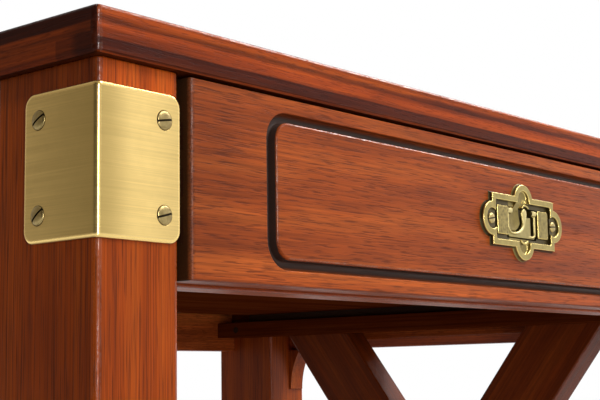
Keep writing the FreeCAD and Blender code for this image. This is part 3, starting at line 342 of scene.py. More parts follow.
def ball(tree, segments):
    return node("GeometryNodeMeshUVSphere",
                {"Segments": segments, "Rings": segments // 2, "Radius": 1.0}, 0, tree)


def sized(part, size):
    return node("GeometryNodeTransform", {"Geometry": part, "Scale": size})


def spread_parts(given, part):
    """Sets a part on every point, its top towards "facing", its side towards "sideways"."""
    facing, sideways = (node("GeometryNodeInputNamedAttribute", {"Name": label}, 0, part.tree,
                             data_type="FLOAT_VECTOR") for label in ("facing", "sideways"))
    upright = node("FunctionNodeAlignRotationToVector", {"Vector": facing}, axis="Z")
    turned = node("FunctionNodeAlignRotationToVector",
                  {"Rotation": upright, "Vector": sideways}, axis="X", pivot_axis="Z")
    copies = node("GeometryNodeInstanceOnPoints",
                  {"Points": given["Points"], "Instance": part, "Rotation": turned})
    real = node("GeometryNodeRealizeInstances", {0: copies})
    node("NodeGroupOutput", {0: node("GeometryNodeSetMaterial", {
        "Geometry": real, "Material": given["Finish"]})})


def after_modifiers(thing):
    evaluated = thing.evaluated_get(bpy.context.evaluated_depsgraph_get())
    return bpy.data.meshes.new_from_object(evaluated)


def made_by(tree, name, places, sizes, finish, body, replaced):
    """Runs a tree over places (point, facing, sideways) and keeps the result as a mesh."""
    points = bpy.data.meshes.new(name + "_points")
    points.from_pydata([place[0] for place in places], [], [])
    for label, index in (("facing", 1), ("sideways", 2)):
        layer = points.attributes.new(label, "FLOAT_VECTOR", "POINT")
        layer.data.foreach_set("vector", [value for place in places for value in place[index]])
    holder = placed(name + "_points", points)
    modifier = holder.modifiers.new("parts", "NODES")
    modifier.node_group = tree
    sockets = {item.name: item.identifier for item in tree.interface.items_tree
               if item.in_out == "INPUT"}
    for label, value in {**sizes, "Finish": finish}.items():
        modifier[sockets[label]] = value
    mesh = after_modifiers(holder)
    bpy.data.objects.remove(holder)
    into_piece(name, merged(mesh, 1e-7), finish, body, replaced, 38)


def glide_tree():
    tree, given = geometry_tree("pressed_button", ("Radius", "Thick"))
    x, y, z = split(node("GeometryNodeInputPosition", {}, 0, tree))
    full = arithmetic("POWER", larger(z, 0.0), PRESSED)
    pressed = node("GeometryNodeSetPosition",
                   {"Geometry": ball(tree, 40), "Position": vector(x, y, full)})
    spread_parts(given, sized(pressed, vector(given["Radius"], given["Radius"],
                                              given["Thick"])))
    return tree


nickel = metal("nickelled_steel", (0.62, 0.60, 0.56), (0.30, 0.28, 0.25), 0.30,
               (220, 220, 220))
glide_places = [((x, y, GLIDE_THICK), (0, 0, -1), (1, 0, 0))
                for x in (-GLIDE_X, GLIDE_X) for y in (-GLIDE_Y, GLIDE_Y)]
made_by(glide_tree(), "pressed_glides", glide_places,
        {"Radius": GLIDE_RADIUS, "Thick": GLIDE_THICK}, nickel, "desk",
        ["foot_glides"])


# ---- Rails -----------------------------------------------------------------------------
# End and back rails tenoned into the legs, and two thin front rails above and below the
# drawer, all planed mahogany with lightly eased edges.
RAIL_EASE, RAIL_SHADE = 0.9 * MM, (1, 0.9, 0.7)
# the back rail and the front lower rail are lightened through their shade numbers as painted
# light
for number, (rail, turn, shade) in enumerate((
        ("left_end_rail", DEPTHWISE, RAIL_SHADE), ("right_end_rail", DEPTHWISE, RAIL_SHADE),
        ("back_rail", LENGTHWISE, (1.4, 1.5, 1.6)), ("front_top_rail", LENGTHWISE, RAIL_SHADE),
        ("front_lower_rail", LENGTHWISE, (1.2, 1.1, 0.9)))):
    dressed(rail, wood("rail_mahogany_%d" % number, turn, (0.9 + 1.3 * number, 0.62, 0.29),
                       figure=(1.3, 40), shade=shade), RAIL_EASE)


# ---- Crossed braces --------------------------------------------------------------------
# Two broad mahogany bars in each end of the desk, halved together where they cross and
# held by a screw, their edges eased with a plane.
BRACE_RISE, BRACE_RUN, BRACE_EASE = 569 * MM, 438 * MM, 1.6 * MM
brace_slope = atan2(BRACE_RISE, BRACE_RUN)
# the braces are given a darker colour as painted shade
for number, (brace, slope) in enumerate((
        ("left_rising_brace", brace_slope), ("left_falling_brace", -brace_slope),
        ("right_rising_brace", brace_slope), ("right_falling_brace", -brace_slope))):
    dressed(brace, wood("brace_mahogany_%d" % number, (-slope, 0, -pi / 2),
                        (2.2 + 1.1 * number, 0.47, 0.81), figure=(1.2, 60), contrast=0.5,
                        fleck=0.25, shade=(0.60, 0.53, 0.36)), BRACE_EASE)


# ---- Knee blocks -----------------------------------------------------------------------
# Small hollow-faced blocks of the same mahogany, sawn to a curve and glued in the corners
# between the end rails and the legs.
KNEE_EASE, KNEE_EDGE = mm(0.5, 8)
dressed("knee_blocks", wood("knee_mahogany", UPRIGHT, (0.7, 0.2, 0.5)), KNEE_EASE, KNEE_EDGE)


# ---- Runners and kickers ---------------------------------------------------------------
# Plain planed bars that carry the drawer and keep it from tipping, stained dark like the
# underside of the drawer and left without polish.
UNPOLISHED = {"fleck": 0.3, "rough": 0.62, "shine": 0.0, "shade": (0.40, 0.38, 0.40)}


def give(packed, finish):
    """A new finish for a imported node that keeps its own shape."""
    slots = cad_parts[packed].material_slots
    for slot in slots:
        slot.material = finish
    if not slots:
        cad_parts[packed].data.materials.append(finish)


dark_bar = wood("runner_wood", DEPTHWISE, (0.6, 0.4, 0.9), **UNPOLISHED)
for bar in ("left_runner", "right_runner", "left_kicker", "right_kicker"):
    give(bar, dark_bar)


# ---- Corner brackets -------------------------------------------------------------------
# Angle brackets of brass sheet folded round the top of each leg, each flange with two
# countersunk holes; filed round at the free corners, brushed and dulled by age.  Painted shade
# darkens them along the fold; a painted highlight brightens the fold, the middle of the front
# flange and, with wear, the rim; the countersinks are darkened with grime and painted shade.
CORNERS = (("front_left", -1, -1), ("front_right", 1, -1),
           ("rear_left", -1, 1), ("rear_right", 1, 1))
OUT_X, OUT_Y, FLANGE_X = mm(381, 301, 324.8)
BRACKET_LOW, BRACKET_HIGH = mm(646.5, 723)
SHEET_THICK, FOLD, BRACKET_CORNER, BURR = mm(2, 3.4, 7, 0.2)
FILED, FILED_DEEP = mm(2.3, 0.9)
HOLE_X, HOLE_Y = mm(336.3, 256.3)
HOLE_HEIGHTS = mm(660.5, 709)
WELL = (mm(5.45, 0), mm(5.2, 0.12), (2.6 * MM, SHEET_THICK))    # radius and depth
# the middle of the front flange, and the colour of the painted shade along the fold
FLANGE_MIDDLE, PAINTED_FOLD_SHADE = 350 * MM, (0.36, 0.245, 0.07, 1)
half_fold = FOLD * pi / 4
half_sheet = half_fold + (OUT_X - FOLD - FLANGE_X)
hole_run = half_fold + (OUT_X - FOLD - HOLE_X)
fold_steps = [half_fold * (step / 6 - 1) for step in range(13)]


def folded(side, end, run, high, deep):
    """A point of the sheet: run along it from the middle of the fold, deep below its face."""
    if run > half_fold:
        x, y = OUT_X - FOLD - (run - half_fold), OUT_Y - deep
    elif run < -half_fold:
        x, y = OUT_X - deep, OUT_Y - FOLD - (-run - half_fold)
    else:
        turn = pi / 4 + run / FOLD
        x = OUT_X - FOLD + (FOLD - deep) * cos(turn)
        y = OUT_Y - FOLD + (FOLD - deep) * sin(turn)
    return side * x, end * y, high


def rounded_loop(half, low, high, radius, steps=8):
    """Rounded rectangle about X = 0 as (x, z) points."""
    return [(sign * (half - radius) + radius * cos(turn), middle + radius * sin(turn))
            for sign, middle, first in ((1, low + radius, -90), (1, high - radius, 0),
                                        (-1, high - radius, 90), (-1, low + radius, 180))
            for turn in (radians(first + 90 * step / steps) for step in range(steps + 1))]


def circle(x, z, radius, count):
    return [(x + radius * cos(tau * step / count), z + radius * sin(tau * step / count))
            for step in range(count)]


def eased(radius, steps, deep=None):
    """How far in and how deep the rings of a rounded edge lie, from the face to the side."""
    turns = [radians(90 * step / steps) for step in range(steps + 1)]
    return [(radius * (1 - sin(turn)), (deep or radius) * (1 - cos(turn))) for turn in turns]


def sheet_edge(inset):
    """Outline of the flat sheet, moved inwards, with the lines of the fold on both edges."""
    low, high = BRACKET_LOW + inset, BRACKET_HIGH - inset
    corners = rounded_loop(half_sheet - inset, low, high, BRACKET_CORNER - inset)
    half = len(corners) // 2
    return (corners[:half] + [(run, high) for run in reversed(fold_steps)] + corners[half:]
            + [(run, low) for run in fold_steps])


def bridge(shape, rings):
    """Walls from each ring of points to the next."""
    for first, second in zip(rings, rings[1:]):
        for here in range(len(first)):
            after = (here + 1) % len(first)
            shape.faces.new((first[here], first[after], second[after], second[here]))


def filled(shape, rings, holes, lines):
    """Fills a flat outline, leaving round holes open.  rings are outlines with their bmesh
    points, lines are kept as edges."""
    flat = [point for points, _ in rings for point in points]
    verts = [vert for _, made in rings for vert in made]
    edges, start = [], 0
    for points, _ in rings:
        count = len(points)
        edges += [(start + i, start + (i + 1) % count) for i in range(count)]
        start += count
    found = {(round(x, 7), round(z, 7)): index for index, (x, z) in enumerate(flat)}
    edges += [tuple(found[round(x, 7), round(z, 7)] for x, z in line) for line in lines]
    flat, _, faces, origins, _, _ = delaunay_2d_cdt([Vector(point) for point in flat],
                                                    edges, [], 1, 1e-9)
    for face in faces:
        middle = sum((flat[index] for index in face), Vector((0, 0))) / len(face)
        if all((middle - Vector(centre)).length > radius * 0.999
               for centre, radius in holes):
            shape.faces.new([verts[origins[index][0]] for index in face])


def mark(layer, amount, points):
    for point in points:
        point[layer] = amount


def bracket(corner, side, end):
    """One bracket: its filed rim, its two faces and its four holes.  The rim is marked bright
    for wear and painted highlight, a strip of the fold for a painted highlight, and the
    countersinks dark for grime and painted shade."""
    shape = bmesh.new()
    rub_and_highlight_layer, dirt_and_shade_layer = (shape.verts.layers.float.new(label) for label in ("rub_and_highlight", "dirt_and_shade"))
    holes = [(run, high) for run in (hole_run, -hole_run) for high in HOLE_HEIGHTS]
    rim = eased(FILED, 6, FILED_DEEP) + [(0, SHEET_THICK - BURR), (BURR, SHEET_THICK)]

    def walls(levels):
        rings = [(points, [shape.verts.new(folded(side, end, run, high, deep))
                           for run, high in points]) for points, deep in levels]
        bridge(shape, [made for _, made in rings])
        return rings

    outer = walls([(sheet_edge(inset), deep) for inset, deep in rim])
    wells = [walls([(circle(run, high, radius, 40), deep) for radius, deep in WELL])
             for run, high in holes]
    for level in (0, -1):
        inset = rim[level][0]
        filled(shape, [outer[level]] + [well[level] for well in wells],
               [(hole, WELL[level][0]) for hole in holes],
               [((run, BRACKET_LOW + inset), (run, BRACKET_HIGH - inset))
                for run in fold_steps])
    # the filed rim marked bright: wear and painted highlight
    mark(rub_and_highlight_layer, 1.0, [vert for _, made in outer[1:6] for vert in made])
    # a strip of the fold, where the edge lamp is reflected, marked bright as painted highlight
    mark(rub_and_highlight_layer, 1.0, [vert for (run, _), vert in zip(*outer[0])
                       if -0.1 * half_fold < run < 0.7 * half_fold])
    # the countersinks marked dark: grime and painted shade round the screw heads
    mark(dirt_and_shade_layer, 0.8, [vert for well in wells for _, made in well[1:] for vert in made])
    bmesh.ops.recalc_face_normals(shape, faces=shape.faces)
    into_piece("sheet_bracket_" + corner, shape, bracket_finish, "desk",
               [corner + "_bracket"])


def fold_shade_and_flange_sheen(place, colour):
    """Painted shade: a darker, duller colour along the fold; and a painted highlight that
    brightens the middle of the front flange."""
    x, y, _ = split(vectors("ABSOLUTE", place))
    fold_shade_mask = (spread(x, OUT_X - 24 * MM, OUT_X - 3 * MM, 0, 1, True)
               * spread(y, OUT_Y - 55 * MM, OUT_Y - 2 * MM, 0, 1))
    colour = mixed(fold_shade_mask * 0.55, colour, PAINTED_FOLD_SHADE)
    # painted highlight: the middle of the front flange is brightened
    middle = spread(abs(x - FLANGE_MIDDLE), *mm(2, 24), 0.15, 0, True)
    return tinted(colour, middle * spread(y, OUT_Y - 1 * MM, OUT_Y, 0, 1) + 1.0)


bracket_finish = metal("aged_sheet_brass", (0.80, 0.575, 0.215), (0.60, 0.425, 0.145), 0.33,
                       (14, 14, 1500), 0.28, 34, fold_shade_and_flange_sheen)
for corner, side, end in CORNERS:
    bracket(corner, side, end)


# ---- Bracket screws --------------------------------------------------------------------
# Round-headed slotted brass wood screws, sixteen of them, four in each bracket, every slot
# stopped at its own turn.
SCREW_SIZES = ("Radius", "Dome", "Slot Width", "Slot Depth")
BRACKET_HEAD = mm(5, 1.2, 1.1, 0.9)
# degrees by corner: the lower and the upper slot on the front or back, then on the end
SLOT_TURNS = (((15, 10), (38, 30)), ((72, 39), (41, 67)),
              ((119, 8), (2, 122)), ((166, -23), (-37, 177)))


def screw_tree():
    tree, given = geometry_tree("slotted_screw_heads", SCREW_SIZES)
    radius, dome, width, depth = (given[label] for label in SCREW_SIZES)
    head = sized(ball(tree, 36), vector(radius, radius, dome))
    saw = node("GeometryNodeMeshCube", {"Size": vector(radius * 3.0, width, depth * 2.0)})
    lifted = node("GeometryNodeTransform", {"Geometry": saw, "Translation": vector(0, 0, dome)})
    slotted = node("GeometryNodeMeshBoolean", {"Mesh 1": head, "Mesh 2": lifted},
                   operation="DIFFERENCE")
    _, aside, _ = split(node("GeometryNodeInputPosition", {}, 0, tree))
    # faces inside the slot marked dark: grime and painted shade
    within = arithmetic("LESS_THAN", abs(aside), width * 0.51)
    spread_parts(given, node("GeometryNodeStoreNamedAttribute",
                             {"Geometry": slotted, "Name": "dirt_and_shade", "Value": within},
                             data_type="FLOAT", domain="FACE"))
    return tree


slotted_heads = screw_tree()
screw_brass = metal("screw_brass", (0.44, 0.33, 0.14), (0.22, 0.16, 0.06), 0.30,
                    (300, 300, 300), 0.7, 240)
screw_places = []
for (_, side, end), turns in zip(CORNERS, SLOT_TURNS):
    for high, first, second in zip(HOLE_HEIGHTS, *turns):
        first, second = radians(first), radians(second)
        screw_places += [((side * HOLE_X, end * OUT_Y, high), (0, end, 0),
                          (cos(first), 0, sin(first))),
                         ((side * OUT_X, end * HOLE_Y, high), (side, 0, 0),
                          (0, -cos(second), sin(second)))]
made_by(slotted_heads, "bracket_screw_heads", screw_places,
        dict(zip(SCREW_SIZES, BRACKET_HEAD)), screw_brass, "desk",
        ["bracket_screws"])


# ---- Hidden wood screws ----------------------------------------------------------------
# Plain countersunk steel screws that hold the top, the runners, the braces and the drawer
# bottom, coloured a dark wood brown as painted shade, so that they sink into the shade round
# them.
steel = metal("steel_dark_as_shade", (0.046, 0.022, 0.013), (0.026, 0.012, 0.007), 0.62,
              (260, 260, 260))
for screws in ("top_screws", "runner_screws", "brace_screws", "lap_screws",
               "drawer_bottom_screws"):
    give(screws, steel)


# ---- Top -------------------------------------------------------------------------------
# A flat mahogany panel with solid lippings mitred round it; the lippings were cut so that
# a dark stripe of heartwood runs along each outer edge.  Their undersides, and the outer side
# and front corner of the left lipping, are darkened as painted shade.
STREAKED = ((0.00, (0.075, 0.013, 0.004)), (0.22, (0.140, 0.024, 0.006)),
            (0.42, (0.270, 0.046, 0.008)), (0.64, (0.390, 0.078, 0.011)),
            (0.82, (0.270, 0.046, 0.008)), (1.00, (0.120, 0.022, 0.006)))
HEARTWOOD = (0.22, 0.20, 0.38, 1)    # how it dims the colour round it
# how the painted shade dims the outer side face of the left lipping
PAINTED_SIDE_SHADE = (0.66, 0.62, 0.80, 1)
SECOND_STRIPE, BRIGHT_STRIPE = mm(753, 747.6)
CHAMFER_TOP, CHAMFER_X, CHAMFER_Y, CHAMFER_EASE = mm(737.6, 383.4, 303.4, 0.5)


def dark_stripe(low, high, strength, corner=False, second=0.0):
    """Heartwood between two heights of a lipping, in millimetres, with a gently wandering
    border; it may have a second, broken stripe above it with a bright one between.  At the
    front corner of the left lipping its end and the side next to it are darkened as painted
    shade, and its outer side face is dimmed as painted shade.  The underside is darkened as
    painted shade."""
    def stain_and_painted_light(place, colour):
        across, along, height = split(place)
        swing = noise(vectors("MULTIPLY", place, (7, 7, 60)), 3, 0.6)
        sway = spread(swing, 0.3, 0.7, *mm(-0.6, 0.6))
        moved = height + sway
        inside = (spread(moved, *mm(low - 0.4, low + 0.4), 0, 1, True)
                  * spread(moved, *mm(high - 0.4, high + 0.4), 1, 0, True) * strength)
        if second:
            wide = height + spread(swing, 0.3, 0.7, *mm(-3, 3))
            inside = larger(inside, spread(abs(wide - SECOND_STRIPE), *mm(0.6, 2.4),
                                           second, 0, True))
            colour = tinted(colour, spread(abs(moved - BRIGHT_STRIPE), *mm(2.6, 4.0),
                                           1.35, 1.0))
        if corner:
            # painted shade: the end of the left lipping at the front corner, and the side next
            # to it, darkened
            painted_dark_end = spread(along, *mm(-301.0, -299.4), 0.97, 0, True)
            painted_shade_patch = (spread(along, *mm(-292, -278), 0.96, 0, True)
                     * spread(moved, *mm(746, 747), 1, 0.45))
            step = (spread(along, *mm(-274.4, -273.8), 0.5, 0)
                    * spread(moved, *mm(745.4, 746.4), 1, 0))
            outer_face = spread(across + sway, *mm(-384.2, -380), 1, 0, True)
            inside = larger(inside, larger(painted_dark_end, larger(painted_shade_patch, step))) * outer_face
            colour = mixed(outer_face, colour, tinted(colour, PAINTED_SIDE_SHADE))
        colour = mixed(inside, colour, tinted(colour, HEARTWOOD))
        # painted shade: the flat underside of a lipping darkened
        return tinted(colour, spread(height, *mm(736.02, 736.14), 0.25, 1.0))
    return stain_and_painted_light


def on_chamfer(point):
    """Whether a lipping's edge belongs to the chamfer along its lower outer edge."""
    return point.z < CHAMFER_TOP and (abs(point.x) > CHAMFER_X or abs(point.y) > CHAMFER_Y)


dressed("top_panel", wood("top_mahogany", LENGTHWISE, (0.3, 0.05, 0.66),
                          figure=(1.3, 26), fleck=0.6))
for number, (side, turn, stripe, rub_and_highlight) in enumerate((
        ("front", LENGTHWISE, dark_stripe(737.0, 743.7, 0.90, second=0.55), 1.0),
        ("back", LENGTHWISE, dark_stripe(735.0, 742.0, 0.7), 1.0),
        ("left", DEPTHWISE, dark_stripe(751.5, 762, 0.9, corner=True), 0.3),
        ("right", DEPTHWISE, dark_stripe(749.0, 756, 0.7), 1.0))):
    dressed(side + "_top_lipping",
            wood("lipping_mahogany_%d" % number, turn, (0.55 + 1.7 * number, 0.42, 0.13),
                 STREAKED, figure=(1.7, 85), fibre=(7, 430), fleck=0.4, stain_and_painted_light=stripe,
                 shade=(0.96, 0.86, 0.66), shine=0.07),
            CHAMFER_EASE, chosen=on_chamfer, rub_and_highlight=rub_and_highlight)


# ---- Drawer box ------------------------------------------------------------------------
# Sides and back of a paler wood under thin shellac, the bottom stained dark; the sides are
# dovetailed into the front and the back, and the bottom slides in a groove.
PALE_WOOD = ((0.00, (0.200, 0.098, 0.042)), (0.35, (0.300, 0.160, 0.072)),
             (0.60, (0.385, 0.222, 0.105)), (0.85, (0.330, 0.182, 0.084)),
             (1.00, (0.250, 0.130, 0.058)))
TAIL_PAINTED_SHADE = (0.030, 0.008, 0.003, 1)


def tails_painted_shade(place, colour):
    """Painted shade: the tail ends that show in the ends of the drawer front, and the lowest
    strip of each board, are darkened."""
    _, along, high = split(place)
    return mixed(larger(spread(along, *mm(-286, -283), 0.95, 0),
                        spread(high, *mm(657.5, 659), 0.9, 0)), colour, TAIL_PAINTED_SHADE)


for number, (board, turn) in enumerate((("drawer_left_side", DEPTHWISE),
                                        ("drawer_right_side", DEPTHWISE),
                                        ("drawer_back", LENGTHWISE))):
    give(board, wood("drawer_wood_%d" % number, turn, (0.5 + 1.4 * number, 0.37, 0.77),
                     PALE_WOOD, figure=(1.3, 22), fleck=0.35, rough=0.46,
                     stain_and_painted_light=tails_painted_shade))
give("drawer_bottom", wood("drawer_bottom_wood", LENGTHWISE, (0.8, 0.33, 0.21),
                           **UNPOLISHED))


# ---- Drawer front ----------------------------------------------------------------------
# One board of mahogany with rounded edges; a groove is routed round a raised field and
# blackened, sockets for the dovetails are cut in its ends and a mortise for the pull.
FRONT_X, FRONT_LOW, FRONT_HIGH, PULL_Z = mm(319.5, 628.5, 734.5, 683.5)
FRONT_FACE, FRONT_BACK, FIELD_FACE = mm(-303, -283, -305)
FIELD_X, FIELD_LOW, FIELD_HIGH, FIELD_CORNER = mm(255.5, 643, 720, 11)
GROOVE_WIDE, GROOVE_FLOOR = mm(5.5, -298)
FIELD_ROUND, FRONT_ROUND, COVE, OUTER_COVE, LIP, ARRIS = mm(1.5, 3.2, 1.4, 3.5, 0.8, 0.4)
FRONT_CORNER, LEAST_CORNER = mm(1, 0.1)
UNDER_ROUND, UPPER_ROUND = 0.4, 0.3  # how much of the round's height is kept there
MORTISE_X, MORTISE_Z, MORTISE_FLOOR = mm(37.6, 14.7, -299.2)
BOTTOM_X, BOTTOM_GROOVE, BOTTOM_LOW, BOTTOM_HIGH = mm(313.5, -289, 651, 657)
SIDE_LOW, SIDE_HIGH, SIDE_THICK, OVERCUT = mm(643, 716, 12, 1)
TAILS = 3
TAIL_ROOT, TAIL_FLARE, TAIL_END = mm(11, 2, -297)
RUB_HIGHLIGHT_DEPTH, RUB_HIGHLIGHT_REACH = mm(-303.7, 1.2)
END_RUB_HIGHLIGHT, UNDER_RUB_HIGHLIGHT = 0.45, 0.15      # how much of the edge marks for wear and painted highlight the ends and the foot keep
# colour of the painted shade on the rounded ends
GAP_PAINTED_SHADE = (0.046, 0.024, 0.010, 1)
GROOVE_BLACK = (0.044, 0.036, 0.032, 1)
BLACK_DEPTH = mm(-303.9, -303.2)     # where the black begins and where it is full
COVER = 0.93                         # how much of the wood the groove's black and the painted shade on the ends hide
field_middle, field_half = (FIELD_LOW + FIELD_HIGH) / 2, (FIELD_HIGH - FIELD_LOW) / 2


def lofted(rings):
    """A closed solid from rings of points, each joined to the next, both ends filled."""
    shape = bmesh.new()
    made = [[shape.verts.new(point) for point in ring] for ring in rings]
    bridge(shape, made)
    shape.faces.new(made[0])
    shape.faces.new(made[-1])
    bmesh.ops.recalc_face_normals(shape, faces=shape.faces)
    return shape


def skin(levels):
    """A closed solid from flat rings (points, depth)."""
    return lofted([[(x, depth, z) for x, z in points] for points, depth in levels])


def box_shape(x, y, z):
    ring = ((y[0], z[0]), (y[1], z[0]), (y[1], z[1]), (y[0], z[1]))
    return lofted([[(end, *point) for point in ring] for end in x])


def worked(base, steps):
    """The base after each tool solid has been cut away from it or added to it."""
    blank = placed("blank", as_mesh(base, "blank"))
    tools = []
    for how, shape in steps:
        tools.append(placed("tool", as_mesh(shape, "tool")))
        step = blank.modifiers.new("work", "BOOLEAN")
        step.operation, step.solver, step.object = how, "EXACT", tools[-1]
    mesh = after_modifiers(blank)
    for thing in [blank] + tools:
        bpy.data.objects.remove(thing)
    return merged(mesh, 1e-6)


def front_levels():
    def around_field(grow, depth):
        return (rounded_loop(FIELD_X + grow, FIELD_LOW - grow, FIELD_HIGH + grow,
                             FIELD_CORNER + grow), depth)

    def around_front(inset, depth):
        return (rounded_loop(FRONT_X - inset, FRONT_LOW + UNDER_ROUND * inset,
                             FRONT_HIGH - UPPER_ROUND * inset,
                             max(FRONT_CORNER - inset, LEAST_CORNER)), depth)

    return ([around_field(-inset, FIELD_FACE + deep) for inset, deep in eased(FIELD_ROUND, 5)]
            + [around_field(deep, GROOVE_FLOOR - inset) for inset, deep in eased(COVE, 4)]
            + [around_field(GROOVE_WIDE - inset, GROOVE_FLOOR - deep)
               for inset, deep in eased(OUTER_COVE, 6)]
            + [around_field(GROOVE_WIDE + deep, FRONT_FACE + inset)
               for inset, deep in eased(LIP, 4)]
            + [around_front(inset, FRONT_FACE + deep) for inset, deep in eased(FRONT_ROUND, 6)]
            + [around_front(0, FRONT_BACK - ARRIS), around_front(ARRIS, FRONT_BACK)])


def tail_socket(side, number):
    """A solid that cuts the socket for one of a side's dovetails."""
    near, far = sorted((side * (FRONT_X - SIDE_THICK), side * (FRONT_X + OVERCUT)))
    middle = SIDE_LOW + (SIDE_HIGH - SIDE_LOW) / TAILS * (number + 0.5)
    return skin([([(near, middle - half), (far, middle - half),
                   (far, middle + half), (near, middle + half)], depth)
                 for depth, half in ((TAIL_END, TAIL_ROOT / 2 + TAIL_FLARE),
                                     (FRONT_BACK + OVERCUT, TAIL_ROOT / 2))])


def groove_black_and_painted_light(place, colour):
    """The routed groove stained black; the front lightened along its lower edge as painted
    light and darkened towards its ends and on its rounded ends as painted shade."""
    x, y, z = split(place)
    aside, level = abs(x), abs(z - field_middle)
    by_ends = spread(aside, FIELD_X - 2.2 * MM, FIELD_X - 1.6 * MM, 0, 0.45 * MM)
    deep = spread(y + by_ends, *BLACK_DEPTH, 0, 1, True)
    beyond = vector(larger(aside - (FIELD_X - FIELD_CORNER), 0.0),
                    larger(level - (field_half - FIELD_CORNER), 0.0), 0)
    reach = FIELD_CORNER + GROOVE_WIDE
    near = spread(vectors("LENGTH", beyond, out=1), reach - 2.2 * MM, reach + 0.4 * MM,
                  1, 0, True)
    # painted light: the front lightened along its lower edge
    colour = tinted(colour, spread(z, FRONT_LOW, FRONT_LOW + 20 * MM, 1.30, 1.0, True))
    # painted shade: the front darkened towards its ends
    colour = tinted(colour, spread(aside, FIELD_X + 4 * MM, FRONT_X - 12 * MM,
                                   1.0, 0.80, True))
    # painted shade on the rounded ends, deepest towards the back, in the gap beside the legs
    end = (spread(aside, FRONT_X - 2.4 * MM, FRONT_X - 0.8 * MM, 0, 1)
           * spread(y, *mm(-302.2, -299.6), 0.35, 1))
    colour = mixed(end * COVER, colour, GAP_PAINTED_SHADE)
    return mixed(near * deep * COVER, colour, GROOVE_BLACK)


mortise = box_shape((-MORTISE_X, MORTISE_X), (FIELD_FACE - OVERCUT, MORTISE_FLOOR),
                    (PULL_Z - MORTISE_Z, PULL_Z + MORTISE_Z))
bottom_groove = box_shape((-BOTTOM_X, BOTTOM_X), (BOTTOM_GROOVE, FRONT_BACK + OVERCUT),
                          (BOTTOM_LOW, BOTTOM_HIGH))
sockets = [tail_socket(side, number) for side in (-1, 1) for number in range(TAILS)]
front_shape = worked(skin(front_levels()), [("DIFFERENCE", shape) for shape in
                                            [mortise, bottom_groove, *sockets]])
mark_rub_and_highlight(front_shape, RUB_HIGHLIGHT_REACH)
rub_and_highlight_layer = front_shape.verts.layers.float["rub_and_highlight"]
for point in front_shape.verts:
    aside, level = abs(point.co.x), abs(point.co.z - field_middle)
    beyond_x, beyond_z = aside - FIELD_X, level - field_half
    in_groove = max(beyond_x, beyond_z) < GROOVE_WIDE + 1.5 * MM
    at_corner = min(beyond_x, beyond_z) > 1 * MM - FIELD_CORNER
    if in_groove and (at_corner or point.co.y > RUB_HIGHLIGHT_DEPTH):
        point[rub_and_highlight_layer] = 0.0
    if aside > FRONT_X - FRONT_ROUND:
        point[rub_and_highlight_layer] *= END_RUB_HIGHLIGHT
    if point.co.z < FRONT_LOW + FRONT_ROUND:
        point[rub_and_highlight_layer] *= UNDER_RUB_HIGHLIGHT
into_piece("moulded_drawer_front", front_shape,
           wood("front_mahogany", LENGTHWISE, (0.15, 0.24, 0.37), figure=(1.6, 40),
                contrast=0.6, fibre=(12, 600), pore=(60, 1250), fleck=0.6,
                shade=(0.96, 0.94, 0.76), stain_and_painted_light=groove_black_and_painted_light),
           "drawer", ["drawer_front"])


# ---- Pull plate ------------------------------------------------------------------------
# Cast brass flush pull: a lobed rim round a sunk pan, a thumb hollow in each lobe, two lugs
# for the bail and a bowl behind its prong; dark patina in the hollows, bright edges from wear
# and painted highlight, painted light in the bowl and painted shade on its flared sides.
RIM_FACE, PAN_FLOOR, PAN_BACK, FOOT_FACE = mm(-308, -301, -299.5, -306.3)
PLATE_X, PLATE_Z, RIM_WIDE, LOBE_DEEP, ROUNDED = mm(40.25, 17.65, 4.6, 1.5, 0.75)
UPPER_LOBE, UPPER_AT, SIDE_LOBE, SIDE_AT = mm(12.05, 14.4, 11.6, 40.15)
PAN_X, PAN_Z, SHELF_FACE, BLOCK_FACE = mm(35.9, 13.4, -305.2, -305.5)
LUG_NEAR, LUG_FAR, LUG_Z, LUG_FACE = mm(19.4, 33.2, 10, -307.2)
CAST_ROUND, CAST_RUB_HIGHLIGHT, CREST_LOW, CREST_HIGH = mm(0.5, 0.45, 0.04, 0.7)
PATINA = (0.080, 0.060, 0.028, 1)
# all below in millimetres; boxes by their ends in x and in z from the middle of the pull
BACK_BLOCK, BAIL_WELL = ((-37.3, 37.3), (-14.4, 14.4)), ((-19.2, 19.2), (-11.5, 10.3))
PRONG_WELL = ((-1.4, 8.2), (9, 11.3))
# thumb hollows' deeper places: x, z, radius and depth
SCOOPS = ((0.4, 17.0, 5.0, 1.0), (2.1, 14.2, 2.8, 1.2), (0, -17.6, 4.9, 1.1))
# raised arcs: first and last turn, x, z, inner and outer radius, front and back
ARCS = ((48, 140, 3.3, 6, 5.4, 6.6, -307.2, -300.5),
        (222, 318, 0.4, -8.6, 5.2, 6.9, -307.5, -306.2))
BOWL = ((-15.6, 10.6), (-15.6, -4.2), (-13.6, -6.4), (-6.4, -6.4), (-2.8, -4.2),
        (0.0, -0.9), (-0.4, 1.6), (-1.7, 5.2), (-1.9, 10.6))
BOWL_MIDDLE = (-8.2, 2.4)
BOWL_LEVELS = ((1.0, -303.9), (0.93, -304.3), (0.80, -304.0), (0.55, -303.2), (0.2, -302.8))
# the web that closes the bowl under the upper lobe, as its left and its right end
WEB = (((-10.2, -302, 7.2), (-10.2, -303.3, 7.2), (-9.0, -307.3, 13.4), (-9.0, -302, 13.4)),
       ((-3.0, -302, 7.2), (-3.0, -303.6, 7.2), (-3.6, -307.3, 13.4), (-3.6, -302, 13.4)))


def on_pull(points):
    """Points in millimetres from the middle of the pull."""
    return [(x * MM, PULL_Z + z * MM) for x, z in points]


def pull_block(x, z, *depths):
    """A box between two depths, x and z in millimetres from the middle of the pull."""
    return box_shape(mm(*x), depths, [PULL_Z + high * MM for high in z])


